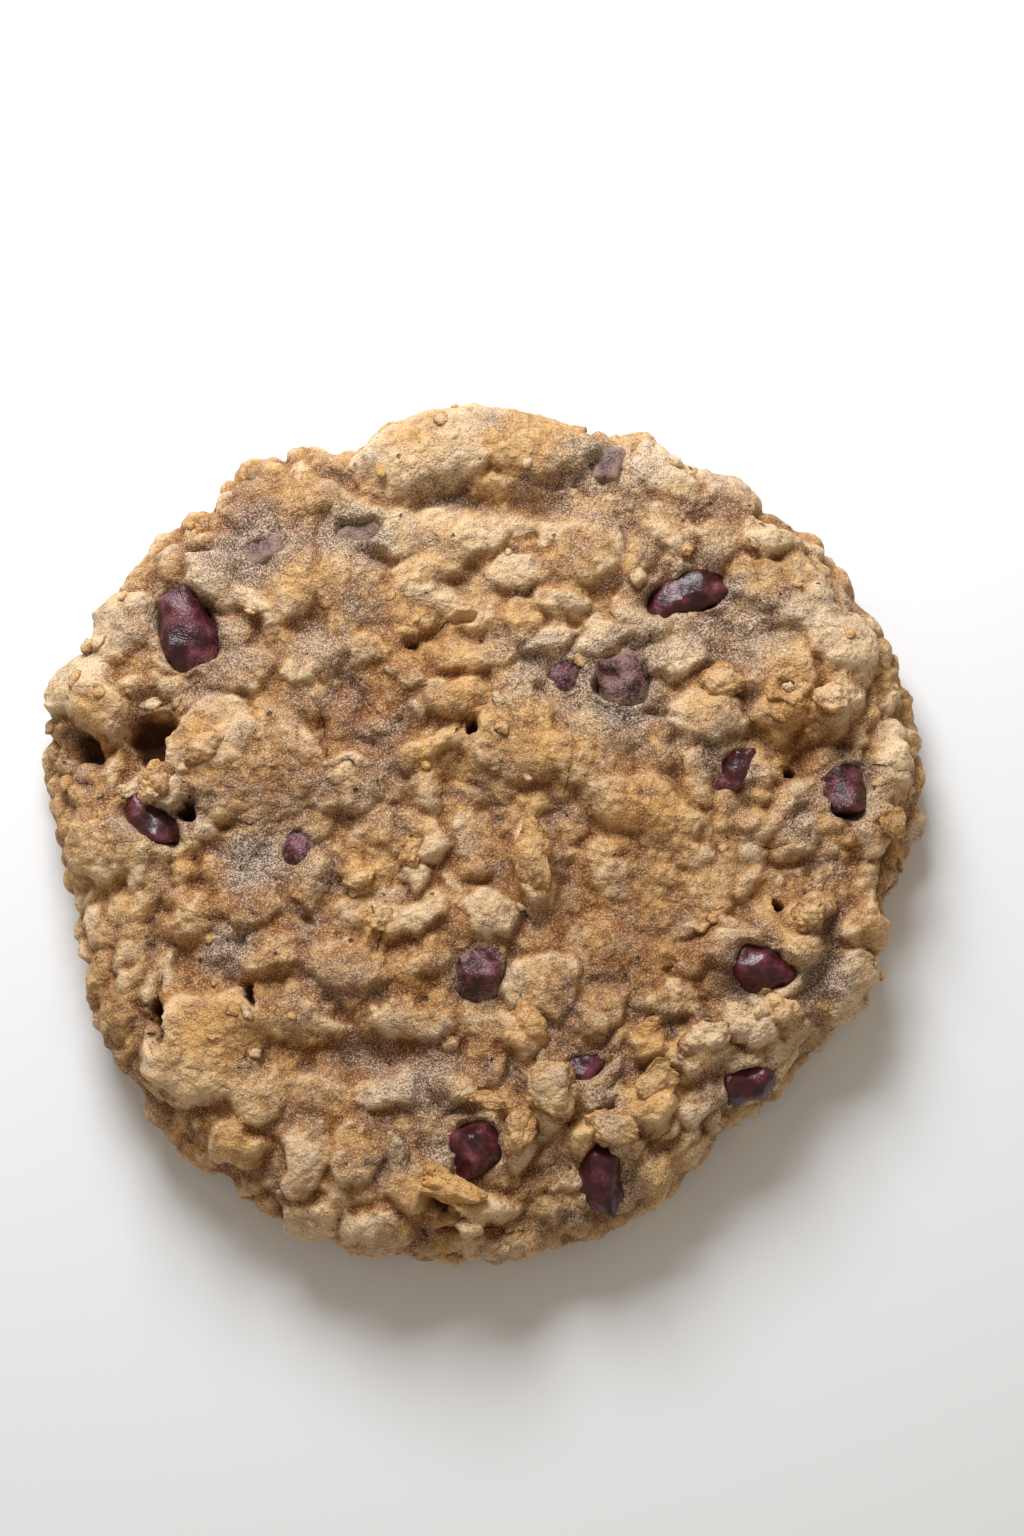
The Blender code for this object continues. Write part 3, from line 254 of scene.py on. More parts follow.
# %% List the slabs
# x, y, half length, half width, turn, lift, lean, the side that it leans up towards
SLABS = (
    (-6, 49.5, 9, 4.8, 10, 2.2, 6, 262), (7, 49.6, 7.5, 4.4, -8, 2, 6, 262),
    (4, 41, 5, 3.8, 14, 0.9, 7, 95), (12.5, 38.1, 6.5, 4.4, -35, 1.5, 8, 270),
    (-24, 31.6, 2.9, 4, -12, 2, 9, 180), (-17.5, 29.8, 4.2, 4.6, 10, 1.3, 8, 200),
    (-34.8, 10.5, 5.6, 4.4, 12, 1.7, 7, 170), (-25.6, 9, 6.6, 4.4, -62, 1, 6, 350),
    (-31.4, 4.4, 5.6, 4, 15, 1.2, 5, 200), (-26.6, 2.6, 4.6, 3, 20, 0.8, 5, 250),
    (-17.4, 4, 4, 3.6, 30, 1.3, 6, 150), (4.5, 10.1, 5.6, 5.4, 40, 2, 6, 120),
    (14, 8.5, 5.4, 4.4, -28, 1.7, 7, 130), (21, 0.9, 7, 3.6, -30, 1.2, 6, 100),
    (-3, 15.5, 3.6, 2.6, -10, 1.8, 9, 90), (-7.4, 8.5, 3.6, 1.6, 32, 1.4, 10, 120),
    (6.4, -6.5, 1.9, 4.3, 8, 2.3, 16, 200), (37.4, 17.9, 4.2, 3.6, -20, 2.2, 9, 80),
    (38, 14.1, 3.4, 3, 0, 2.4, 9, 300), (43.2, 13.3, 2.6, 2.6, 0, 2.4, 8, 290),
    (29, 13.3, 4.2, 3.4, -12, 1.5, 9, 270), (20.5, 28.2, 3.2, 4.8, 0, 0.9, 8, 270),
    (-52.5, 18.4, 4.8, 4.4, 20, 1.6, 8, 250), (-48.2, 13.2, 3.6, 2.3, -37, 2.9, 8, 100),
    (-46.5, 25.5, 4.6, 3.2, 30, 1.6, 8, 120), (-40.5, 2.9, 2.8, 2.2, 25, 2, 9, 100),
    (-49, -4.1, 5.2, 4, 0, 1.4, 6, 120), (-34.5, -28.7, 6.6, 6.4, 30, 2.2, 6, 170),
    (-30.8, -41.7, 2.8, 2.7, 0, 2.2, 7, 120), (-29, -34.6, 4.4, 3.4, 0, 1.5, 7, 250),
    (-22, -43.6, 2.8, 4.2, -12, 1.8, 8, 170), (-15.6, -42.3, 3.6, 4.2, 15, 1.6, 8, 200),
    (-20.5, -36.6, 4.2, 3.6, 30, 1.1, 7, 110), (-4.8, -49.1, 5.2, 2, -14, 2.6, 8, 280),
    (-9.4, -45.7, 1.6, 3.2, 8, 2, 9, 180), (4.8, -28.3, 1.8, 3, 24, 1.6, 9, 200),
    (7.6, -22.1, 4.8, 3.8, -20, 1.4, 8, 90), (8.6, -36.3, 3, 3.4, 0, 2.1, 8, 100),
    (15.2, -42.5, 3.6, 2.3, -24, 2.4, 9, 120), (4.4, -42.3, 1.9, 3.2, -18, 1.9, 9, 170),
    (21.4, -38.1, 3.2, 3.4, 30, 2.1, 9, 330), (28.2, -31.1, 3.8, 2.9, 30, 2.3, 9, 300),
    (22, -30.5, 2.2, 1.5, 20, 2.2, 12, 120), (36.6, -28.1, 2.5, 2.3, 0, 2.2, 9, 90),
    (42.2, -12.5, 2.3, 2.3, 0, 2.3, 9, 120), (41.2, -18.3, 2.2, 3.2, 12, 2.2, 9, 200),
    (32.6, -17.3, 3.4, 2.4, 10, 1.4, 8, 110), (50.4, -14.5, 3.2, 3, 20, 2.2, 8, 60),
    (49.8, -22.7, 3.4, 4.6, -15, 2, 8, 30), (50.6, -0.9, 2.6, 3.2, 15, 1.8, 9, 90),
    (52, 5.1, 3, 4.2, 0, 1.4, 8, 100), (32.6, 44.6, 4.2, 2.6, -38, 1.8, 9, 60),
    (36.4, 37.5, 3, 2.4, -35, 1.4, 9, 240), (24, 46.2, 4.6, 3, -25, 1.2, 8, 80),
    (45, 22.7, 3.4, 3.6, 0, 1.5, 8, 240), (-35, 32.4, 3.4, 2.4, -12, 1.4, 8, 260),
    (-14.2, -54.1, 4.4, 3.6, 10, 1.6, 8, 80), (-22.5, -52.6, 3.8, 3.2, 20, 1.8, 8, 80),
    (2, -56.1, 4.6, 3, -8, 1.6, 8, 80), (1.6, 44.2, 3.1, 1.8, 8, 1.6, 12, 265),
    (-3.1, 38.6, 6, 3.4, 8, 1.1, 9, 285), (-11.9, 38.4, 4.8, 2.8, -10, 1.2, 10, 260),
    (11.9, 34.2, 4.5, 2.6, -30, 1.4, 12, 250), (-7.2, 33.6, 5, 2.2, 18, 1.3, 13, 280),
    (4.7, 32.8, 3.6, 2.4, -10, 1.4, 12, 265), (-7.4, 29.6, 3.4, 1.9, -12, 1.3, 13, 275),
    (10.3, 29.4, 3.2, 2.4, 20, 1.5, 12, 260), (5.2, 26.6, 2.6, 2.5, 0, 1.6, 10, 255),
    (-9.8, 25.8, 3.6, 2, 28, 1.3, 14, 290), (-2.6, 27.4, 4, 1.9, -25, 1.2, 12, 260),
    (-0.5, 21.5, 4.4, 2.2, 10, 1.4, 12, 270), (-14.5, 22.8, 3.6, 2.8, 0, 1.4, 12, 290),
    (8.2, 24, 3.2, 1.6, 15, 1.2, 12, 265), (-9.8, 19.2, 2.6, 2.4, 0, 1.4, 11, 260),
    (4.2, 18, 3.4, 1.9, -8, 1.3, 12, 275), (16, 24.6, 3.4, 2.6, 15, 1.1, 12, 255),
    (-22.4, 21, 3.6, 2.6, 35, 1.3, 12, 300), (-27.5, 27.6, 3.2, 2.4, -20, 1.3, 12, 280),
    (-31.6, 19.6, 4.2, 3, 20, 1.2, 12, 285), (24.6, 38.6, 3.6, 2.6, -28, 1.4, 12, 240),
    (30.6, 37, 3, 2.4, -40, 1.4, 11, 240), (19.8, 34.6, 3.2, 2.2, -10, 1.2, 12, 260),
    (36, 30.6, 4.2, 3.2, -45, 1.2, 9, 230), (41.6, 26.4, 3, 2.6, -30, 1.3, 10, 230),
    (24.8, 21.4, 3.4, 2.6, 20, 1.1, 12, 270), (-30.4, -10.6, 4.6, 2.8, -20, 1.3, 12, 275),
    (-37.4, -11.8, 3.4, 2.6, 10, 1.4, 11, 265), (-27, -17.4, 4.4, 2.4, 12, 1.2, 12, 270),
    (-17.2, -19.4, 4.2, 2.6, -15, 1.2, 12, 265), (-8.6, -12.8, 3.4, 2.2, 20, 1.2, 12, 280),
    (-9.4, -26, 4.4, 2.2, -8, 1.3, 13, 270), (-24.4, -26.2, 5.4, 2.4, -4, 1.5, 13, 270),
    (0.6, -12.4, 3.6, 2.4, -20, 1.1, 11, 260), (15.4, -24.6, 3.8, 2.6, 15, 1.2, 11, 270),
    (24.8, -24, 3.6, 2.4, -18, 1.2, 11, 265), (-12.2, -34.6, 3.6, 2.6, 10, 1.3, 12, 275),
    (-3.8, -34.4, 2.8, 2, -12, 1.2, 12, 265), (14.4, -36.4, 2.4, 2, 0, 1.1, 10, 270),
)
print(len(SLABS), "slabs placed by hand")

# %% List the chips
# form, x, y, radius, length, lean from upright, side of the tip, bend, stand, half the mouth along and across
CHIPS = {
    "chip_01": ("drop", -38.6, 25, 5.2, 12.4, 62, 97, 0.5, -1.5, 5.3, 4),
    "chip_02": ("bean", -43, -0.4, 2.7, 8.4, 82, 322, 0.4, -1, 3.4, 1.9),
    "chip_03": ("bean", -24, -4, 2.8, 6.4, 60, 250, 0.2, -2, 1.6, 1.2),
    "chip_04": ("bean", 26.6, 29.7, 3.2, 11.4, 80, 22, -2.2, -1.4, 4.8, 2.1),
    "chip_05": ("drop", 10.4, 19, 3.1, 6, 30, 30, 0.1, -1.9, 1.8, 1.4),
    "chip_06": ("block", 18, 18.2, 4.1, 8.8, 62, 98, 0.3, -1.8, 3.6, 2.8),
    "chip_07": ("bean", 32.4, 6.2, 2.5, 7, 66, 62, 0.3, -1.6, 2.1, 1.2),
    "chip_08": ("drop", 46.6, 3.5, 4.1, 8, 46, 262, 0.3, -1.4, 3, 2.7),
    "chip_09": ("drop", 37.2, -20, 4, 8.6, 74, 338, 0.6, -1, 3.2, 2.5),
    "chip_10": ("block", -0.6, -20.1, 3.4, 6.4, 42, 60, 0.2, -1.4, 2.7, 2.5),
    "chip_11": ("drop", 13.2, -32.2, 2.8, 6.6, 76, 22, 0.2, -1.8, 2.2, 0.9),
    "chip_12": ("block", 37, -37.4, 3.1, 7.4, 82, 4, 0.2, -1, 3.4, 2.2),
    "chip_13": ("block", -0.8, -42.6, 3.9, 7.2, 50, 215, 0.6, -1.5, 3.1, 2.8),
    "chip_14": ("bean", 15.6, -47.3, 2.9, 8.8, 80, 268, 0.5, -0.9, 3.7, 2.1),
    "chip_15": ("block", 16.4, 47.8, 3.5, 8, 66, 250, 0.2, -2.5, 2.2, 1.5),
    "chip_16": ("bean", -16.3, 38, 3, 7, 74, 25, 0.2, -2.4, 1.9, 1),
    "chip_17": ("bean", -28.8, 35.8, 3, 8.2, 78, 15, 0.2, -2.5, 2.3, 0.9),
}
print(len(CHIPS), "chips placed by hand")

# %% List the splits and the calm stretches
# Splits in the crust, each a jagged line through its points, then how wide it gapes.
SPLITS = (
    (((-21.6, 15.5), (-20.2, 10.4), (-19.8, 7.3)), 0.9),
    (((-38.6, 5.4), (-37.3, 2.8), (-37.5, -3.3)), 1.2),
    (((-34.5, -1.4), (-30, -0.6), (-25.6, 1.2)), 0.8),
    (((-20.8, 5.6), (-17.4, 7), (-13.8, 5), (-13.2, 2.6)), 0.8),
    (((24.6, 10.5), (25.4, 5.5)), 0.8),
    (((32, 16.8), (34.4, 12.3)), 1),
    (((34.4, -2.7), (37.6, -3.7), (41, -2.5)), 0.8),
    (((46, 15.5), (46.5, 11.1)), 0.6),
    (((46.2, 7.5), (51, 6.5), (55.6, 5.9)), 0.6),
    (((11, 10.5), (11.4, 5.9), (10.4, 2.9)), 1),
    (((-41, -19.6), (-41.6, -26.1), (-40.6, -30.6)), 1.6),
    (((2.6, 16.5), (-1.2, 13.9), (-3.6, 10.7)), 0.8),
    (((-14, -11.1), (-12.4, -14.5), (-13.4, -17.1)), 1.1),
    (((-12, 25.5), (-6, 24.6), (-3.4, 26.5)), 0.7),
    (((20, -46.1), (24.4, -42.7), (26, -39.1)), 1.1),
    (((-6, -54.1), (1, -52.7), (6, -53.7)), 1.2),
    (((14.6, 31.3), (17.6, 25.6), (21.4, 24.6)), 0.6),
)
# Smooth stretches where the oats lie deep in the dough: x, y, radius, how smooth.
CALM = (
    (19, -7, 12, 0.95), (11, -15, 6, 0.6), (-25, 8, 8, 0.75), (-13, -24, 7, 0.5), (-35, -28, 8, 0.85),
    (-5, 51, 9, 0.35), (8, 51, 7, 0.3), (7, 8, 7, 0.6), (22, 1.5, 8, 0.6), (-24, -12, 6, 0.5),
    (-2, -1, 6, 0.4), (30, 27, 6, 0.5), (-40, 29, 6, 0.5), (37, -30.5, 5, 0.5), (0, 26, 7, 0.4),
)
print(len(SPLITS), "splits and", len(CALM), "calm stretches placed by hand")

# %% [markdown]
# ## The relief
# On the real cookie each rolled oat is a leaning flake under a film of dough, so here each is a slab with
# a domed top, steep sides and an uneven outline, and the highest slab wins at each place. Crumb fills in
# as small lumps that meet in creases. Splits, pits and the seats of the chips are cut last. A slight
# wander of the places first makes every edge ragged, as torn dough is.

# %% Noise, outlines and soft steps
SEED_STEP = 7.31


def ripple(u, v, size, seed):
    """Smooth noise from about -1 to 1, with waves about that size."""
    return np.array([noise.noise((a / size, b / size, seed * SEED_STEP)) for a, b in zip(u, v)])


def turned(u, v, x, y, degrees):
    """Distances along and across an axis through x, y."""
    c, s = math.cos(math.radians(degrees)), math.sin(math.radians(degrees))
    return (u - x) * c + (v - y) * s, (v - y) * c - (u - x) * s


def uneven(angle, seed, wobble):
    """A round outline's factor at each angle, with a few bulges and dents."""
    return 1 + wobble * (np.sin(2 * angle + seed) + 0.6 * np.sin(3 * angle + 1.7 * seed)
                         + 0.5 * np.sin(5 * angle + 2.3 * seed))


def outlined(u, v, x, y, half_length, half_width, turn, seed, wobble):
    """How far out each place is in an uneven oval: 0 at its middle, 1 on its outline."""
    along, across = turned(u, v, x, y, turn)
    outline = uneven(np.arctan2(across / half_width, along / half_length), seed, wobble)
    return np.hypot(along / half_length, across / half_width) / outline


def soft_max(a, b, softness):
    """The higher of two surfaces, with the crease between them rounded."""
    blend = np.clip(softness - np.abs(a - b), 0, None) / softness
    return np.maximum(a, b) + 0.25 * softness * blend**2


def smooth(low, high, value):
    """A soft step from 0 below low to 1 above high."""
    share = np.clip((value - low) / (high - low), 0, 1)
    return share * share * (3 - 2 * share)


print("a soft step gives", float(smooth(0, 1, np.float64(0.25))), "a quarter of the way")

# %% Lay the oats and the slabs
# Oats and grains lie on a triangular grid, and each may stray from its place by that share of the spacing.
ROW_PITCH = 0.87
STRAY = 0.36
OAT_SPACING = 4.2
OAT_SEED = 11
# From least to most, or the mean and the spread, of what is drawn for each oat.
OAT_LENGTH = (1.8, 3.6)
OAT_BREADTH = (0.6, 0.95)
OAT_LIFT = (-0.35, 0.4)
OAT_LEAN = (2, 18)
OAT_TOWARDS = (270, 60)
OAT_DOME = (0.45, 1.2)
OAT_EDGE_SLOPE = 0.8
OAT_SOFTNESS = (0.2, 0.5)
OAT_TINT = (0, 0.5)
# What calm dough adds to an oat's lift and softness, and what it leaves of its dome.
CALM_LIFT = 0.3
CALM_SOFTNESS = 0.5
CALM_DOME = 0.3
SLAB_WOBBLE = 0.12
SLAB_EDGES = (0.4, 0.8, 1.3)
SLAB_TINT = (0.25, 0.4)
# A slab is worked out within that many half lengths, and its tint takes over as it comes out that far.
SLAB_NEAR = 3.2
TINT_EDGE = 0.15


def lay_slab(crust, slab, tint, dome=0.6, edge_slope=1.5, softness=0.8, seed=0):
    """Lays one leaning slab on the relief, and notes its tint where it comes out on top."""
    u, v = crust["u"], crust["v"]
    x, y, half_length, half_width, turn, lift, lean, towards = slab
    near = np.abs(u - x) + np.abs(v - y) < SLAB_NEAR * max(half_length, half_width)
    share = outlined(u[near], v[near], x, y, half_length, half_width, turn, seed, SLAB_WOBBLE)
    side = math.radians(towards)
    reach = (u[near] - x) * math.cos(side) + (v[near] - y) * math.sin(side)
    top = lift + dome * (1 - share**2) + reach * math.tan(math.radians(lean))
    top -= edge_slope * np.clip(share - 1, 0, None) * min(half_length, half_width)
    wins = smooth(-TINT_EDGE, TINT_EDGE, top - crust["height"][near])
    crust["tint"][near] += (tint - crust["tint"][near]) * wins
    crust["height"][near] = soft_max(crust["height"][near], top, softness)


def scattered(spacing, seed):
    """Places all over the sheet on a jittered triangular grid, each with its own random source."""
    draw = np.random.default_rng(seed)
    rows = int(SKIN_RADIUS / (spacing * ROW_PITCH)) + 1
    columns = int(SKIN_RADIUS / spacing) + 1
    for row in range(-rows, rows + 1):
        for column in range(-columns, columns + 1):
            jitter = draw.uniform(-STRAY, STRAY, 2) * spacing
            x = (column + 0.5 * (row % 2)) * spacing + jitter[0]
            y = row * spacing * ROW_PITCH + jitter[1]
            if math.hypot(x, y) < SKIN_RADIUS - 0.8 * spacing:
                yield x, y, draw


def spots(u, v, places):
    """How strongly each place is touched by the nearest of some soft round spots."""
    touched = np.zeros_like(u)
    for x, y, radius, strength in places:
        touched = np.maximum(touched, strength * np.exp(-(((u - x) ** 2 + (v - y) ** 2) / radius**2)))
    return touched


def lay_oats(crust):
    """Rolled oats under a film of dough, each with its own tint, low where the crust is calm."""
    tints = np.random.default_rng(OAT_SEED + 1)
    for x, y, draw in scattered(OAT_SPACING, OAT_SEED):
        calm = float(spots(np.float64(x), np.float64(y), CALM))
        stir = 1 - calm
        half_length = draw.uniform(*OAT_LENGTH)
        half_width = half_length * draw.uniform(*OAT_BREADTH)
        turn, towards = draw.uniform(0, 180), draw.normal(*OAT_TOWARDS)
        lift, lean = draw.normal(*OAT_LIFT) + CALM_LIFT * calm, draw.uniform(*OAT_LEAN) * stir
        dome = draw.uniform(*OAT_DOME) * (CALM_DOME * calm + stir)
        softness = draw.uniform(*OAT_SOFTNESS) + CALM_SOFTNESS * calm
        oat = (x, y, half_length, half_width, turn, lift, lean, towards)
        lay_slab(crust, oat, tints.normal(*OAT_TINT), dome, OAT_EDGE_SLOPE, softness, draw.uniform(0, 6))


print("oats to lay:", sum(1 for _ in scattered(OAT_SPACING, OAT_SEED)))

# %% Fill in the crumb and the puffs
GRAIN_SPACING = 1.9
GRAIN_SEED = 23
GRAIN_RADIUS = (0.9, 1.9)
GRAIN_RISE = (0.08, 0.52)
# How much of the crumb and the puffs calm dough takes away.
CALM_CRUMB = 0.75
CALM_PUFFS = 0.5
# The size of the puffs and how high they rise.
PUFFS = ((5.4, 0.55), (2.7, 0.48), (1.3, 0.22))


def lay_grains(crust):
    """Small lumps of crumb that meet in creases, plainer on the smooth middle than near the rim."""
    u, v = crust["u"], crust["v"]
    crumb = np.zeros_like(u)
    for x, y, draw in scattered(GRAIN_SPACING, GRAIN_SEED):
        radius, rise = draw.uniform(*GRAIN_RADIUS), draw.uniform(*GRAIN_RISE)
        near = (np.abs(u - x) < radius) & (np.abs(v - y) < radius)
        share = ((u[near] - x) ** 2 + (v[near] - y) ** 2) / radius**2
        crumb[near] = np.maximum(crumb[near], rise * (1 - share))
    outer = np.clip(np.hypot(u, v) / MEAN_RADIUS, 0, 1) ** 2
    share = np.clip(0.45 + 0.38 * outer + 0.5 * ripple(u, v, 11.0, 6), 0.15, 1.2)
    crust["height"] += crumb * share * (1 - CALM_CRUMB * spots(u, v, CALM))


def puff(crust):
    """Soft swellings that meet in creases, as where a crust sets while it still rises."""
    u, v = crust["u"], crust["v"]
    outer = np.clip(np.hypot(u, v) / MEAN_RADIUS, 0, 1.1) ** 2
    share = np.clip(0.75 + 0.4 * outer + 0.45 * ripple(u, v, 13.0, 8), 0.45, 1.5)
    share *= 1 - CALM_PUFFS * spots(u, v, CALM)
    for seed, (size, rise) in enumerate(PUFFS, 9):
        crust["height"] += rise * share * (np.abs(ripple(u, v, size, seed)) - 0.25)


print("grains of crumb to lay:", sum(1 for _ in scattered(GRAIN_SPACING, GRAIN_SEED)))

# %% Open the splits, the chips' seats and the pits
MOUTH_WOBBLE = 0.13
MOUTH_DEPTH = 1.2
MOUTH_SLOPE = 3.2
MOUTH_REACH = 0.7
PIT_WOBBLE = 0.16
PIT_LIP = 0.6
SPLIT_WIDTH = 0.60
SPLIT_SAG = 0.55
SPLIT_CLOSING = 1.6


def split_crust(crust):
    """Notes how far each place is beside the nearest split, and how wide that gapes, then lowers its lips."""
    u, v = crust["u"], crust["v"]
    for line, gape in SPLITS:
        whole = sum(math.dist(a, b) for a, b in zip(line, line[1:]))
        done = 0.0
        for (x0, y0), (x1, y1) in zip(line, line[1:]):
            length = math.dist((x0, y0), (x1, y1))
            along, across = turned(u, v, x0, y0, math.degrees(math.atan2(y1 - y0, x1 - x0)))
            run = np.clip(along, 0, length)
            away = np.hypot(along - run, across)
            nearer = away < np.abs(crust["beside"])
            closing = np.clip(np.minimum(done + run, whole - done - run) / SPLIT_CLOSING, 0, 1)
            crust["beside"] = np.where(nearer, np.copysign(away, across), crust["beside"])
            crust["gape"] = np.where(nearer, gape * closing, crust["gape"])
            done += length
    crust["height"] -= SPLIT_SAG * crust["gape"] * np.exp(-((crust["beside"] / SPLIT_WIDTH) ** 2))


def seat_chips(crust):
    """Dough drawn down to each chip in an uneven mouth with steep sides."""
    for seed, (_, x, y, _, _, _, towards, _, _, half_length, half_width) in enumerate(CHIPS.values()):
        share = outlined(crust["u"], crust["v"], x, y, half_length, half_width, towards, seed, MOUTH_WOBBLE)
        floor_height = -MOUTH_DEPTH + MOUTH_SLOPE * np.clip((share - 1) * half_width, -MOUTH_REACH, None)
        crust["height"] = np.minimum(crust["height"], floor_height)


def open_pits(crust):
    """Holes that the dough leaves open."""
    for seed, (x, y, half_length, half_width, turn, depth) in enumerate(PITS):
        share = outlined(crust["u"], crust["v"], x, y, half_length, half_width, turn, seed, PIT_WOBBLE)
        crust["height"] = np.minimum(crust["height"], -depth + (depth + PIT_LIP) * share**3)


print("the deepest pit is", max(pit[-1] for pit in PITS), "mm deep")

# %% Put the relief together
GAP_DEPTH = 0.95
# The size of some waves with how high they rise, and of others with how far they push a place aside.
WAVES = ((16.0, 1.2), (7.5, 0.75), (4.3, 0.25), (2.1, 0.12))
RAGGED = ((4.2, 0.8), (1.8, 0.45), (0.9, 0.14))
NO_SPLIT = 9.0
FOOT_FADE = 4.5


def make_relief(u, v):
    """Everything that stands up from the sheet or is sunk in it, and the tint of what is on top."""
    wander = [
        sum(push * ripple(u, v, size, seed + axis) for seed, (size, push) in enumerate(RAGGED, 30))
        for axis in (0, 40)
    ]
    crust = {
        "u": u + wander[0], "v": v + wander[1], "height": np.full_like(u, -GAP_DEPTH),
        "tint": np.zeros_like(u), "beside": np.full_like(u, NO_SPLIT), "gape": np.zeros_like(u),
    }
    lay_oats(crust)
    slab_tints = np.random.default_rng(OAT_SEED + 2)
    for number, slab in enumerate(SLABS):
        softness = SLAB_EDGES[number % len(SLAB_EDGES)]
        lay_slab(crust, slab, slab_tints.normal(*SLAB_TINT), softness=softness, seed=number)
    lay_grains(crust)
    puff(crust)
    split_crust(crust)
    for seed, (size, rise) in enumerate(WAVES, 1):
        crust["height"] += rise * ripple(u, v, size, seed)
    for x, y, half_length, half_width, turn, rise in SWELLS:
        along, across = turned(u, v, x, y, turn)
        crust["height"] += rise * np.exp(-((along / half_length) ** 2 + (across / half_width) ** 2))
    crust["whole"] = crust["height"].copy()
    seat_chips(crust)
    open_pits(crust)
    foot = np.clip((SKIN_RADIUS - np.hypot(u, v)) / FOOT_FADE, 0, 1)
    crust["height"] *= foot * (2 - foot)
    return crust


# %% [markdown]
# ## The dough
# The sheet starts as a flat grid. Its square is pressed into a disc, so that the squares stay about as
# big all over, and each point is then lifted to its place on the cookie. The fine crumb is a last layer
# of noise. A grid is used here in place of hand sculpting, because every crag has its place in the lists.

# %% Press a grid into a disc and raise the crust
SHEET_CELLS = 300
MIDDLE_CELL = 0.86
CRUMB = ((1.6, 0.16), (0.8, 0.07))


def press_round(obj, radius, middle=1.0):
    """Moves a square grid's points so that its squares fill a disc, with smaller squares at the middle."""
    count = len(obj.data.vertices)
    flat = np.empty(count * 3)
    obj.data.vertices.foreach_get("co", flat)
    a, b = flat.reshape(-1, 3)[:, 0], flat.reshape(-1, 3)[:, 1]
    wide = np.abs(a) >= np.abs(b)
    safe_a, safe_b = np.where(a == 0, 1e-12, a), np.where(b == 0, 1e-12, b)
    angle = np.where(wide, math.pi / 4 * b / safe_a, math.pi / 2 - math.pi / 4 * a / safe_b)
    reach = np.where(wide, a, b)
    reach *= middle + (1 - middle) * reach**2
    return reach * np.cos(angle) * radius, reach * np.sin(angle) * radius


def set_points(obj, points):
    """Puts an object's points at these places, given in millimetres."""
    obj.data.vertices.foreach_set("co", (points * MM).ravel())
    obj.data.update()


deselect()
bpy.ops.mesh.primitive_grid_add(x_subdivisions=SHEET_CELLS, y_subdivisions=SHEET_CELLS, size=2)
dough = bpy.context.object
dough.name = "baked_dough"
u, v = press_round(dough, SKIN_RADIUS, MIDDLE_CELL)
crust = make_relief(u, v)
for seed, (size, rise) in enumerate(CRUMB, 50):
    crust["height"] += rise * ripple(u, v, size, seed)
points, outward = wrap(u, v)
points += outward * crust["height"][:, None]
points = np.clip(points, np.array(cad_box[0]) / MM, np.array(cad_box[1]) / MM)
points[:, 2] = np.maximum(points[:, 2], LOWEST_CRUMB)
on_edge = np.hypot(u, v) > SKIN_RADIUS - 1e-6
points[on_edge, 2] = 0
set_points(dough, points)
print(len(points), "points in the crust, relief from",
      round(crust["height"].min(), 1), "to", round(crust["height"].max(), 1), "mm")

# %% [markdown]
# ## What the colours need to know
# Crests are painted paler and hollows and pits darker, as painted light and shade, so each point keeps a few
# numbers for the finish to read: how far it stands above its surroundings, how deep it lies, its oat's tint,
# and where a chip just under the film of dough darkens it. Whole stretches are a shade paler or deeper too,
# partly the crust's own colour and partly painted light and shade. Standing above the surroundings is the
# height less a blurred copy of it.

# %% List the stains, the gold and the shades
# x, y, radius, strength of the stain from a chip under the dough
STAINS = (
    (-29.5, -5.6, 4.2, 1.1), (-25.5, -4.5, 3.6, 0.7), (31, 29.4, 3.2, 0.95), (33.5, 24.5, 5.5, 0.6),
    (28.4, 24, 5, 0.62), (6, 18.8, 4.6, 0.66), (-33.1, -17.7, 3.6, 0.9), (45, -21.5, 3.4, 0.85),
    (-6.6, 43.6, 3.4, 0.5), (-16.8, 37.6, 4.4, 0.9), (-29.4, 35.6, 5.4, 0.95), (-33.5, 33.5, 4, 0.5),
    (15.9, 47.2, 4.6, 0.8), (13.6, 40.8, 4, 0.4), (12.4, 19.3, 4.6, 0.75), (17.4, 15.2, 4.8, 0.85),
    (29.4, 7.3, 3.2, 0.5), (26, 9.9, 3.4, 0.35), (48, 0.3, 3, 0.6), (45, 5.9, 3, 0.35),
    (33, -19.1, 3.4, 0.45), (-1.4, -17.7, 2.6, 0.5), (15, -36.9, 3.4, 0.65), (16.6, -32.9, 2.6, 0.4),
    (-4.6, -42.5, 3.6, 0.6), (10.2, -44.7, 3.6, 0.5), (-8, -34.5, 5.6, 0.6), (-12.5, 1.3, 4, 0.35),
    (-10, 11.9, 4, 0.25), (-20.4, 21.9, 5, 0.4), (-33, 20.4, 4.4, 0.4), (-36, 28.8, 3.4, 0.4),
    (3, 36.6, 4, 0.3), (30, -36.1, 4, 0.35), (36.4, 22.5, 4.4, 0.35), (22.8, 22.3, 3, 0.35),
    (40, 1.9, 4.4, 0.3), (-21, -23.7, 4.6, 0.3),
)
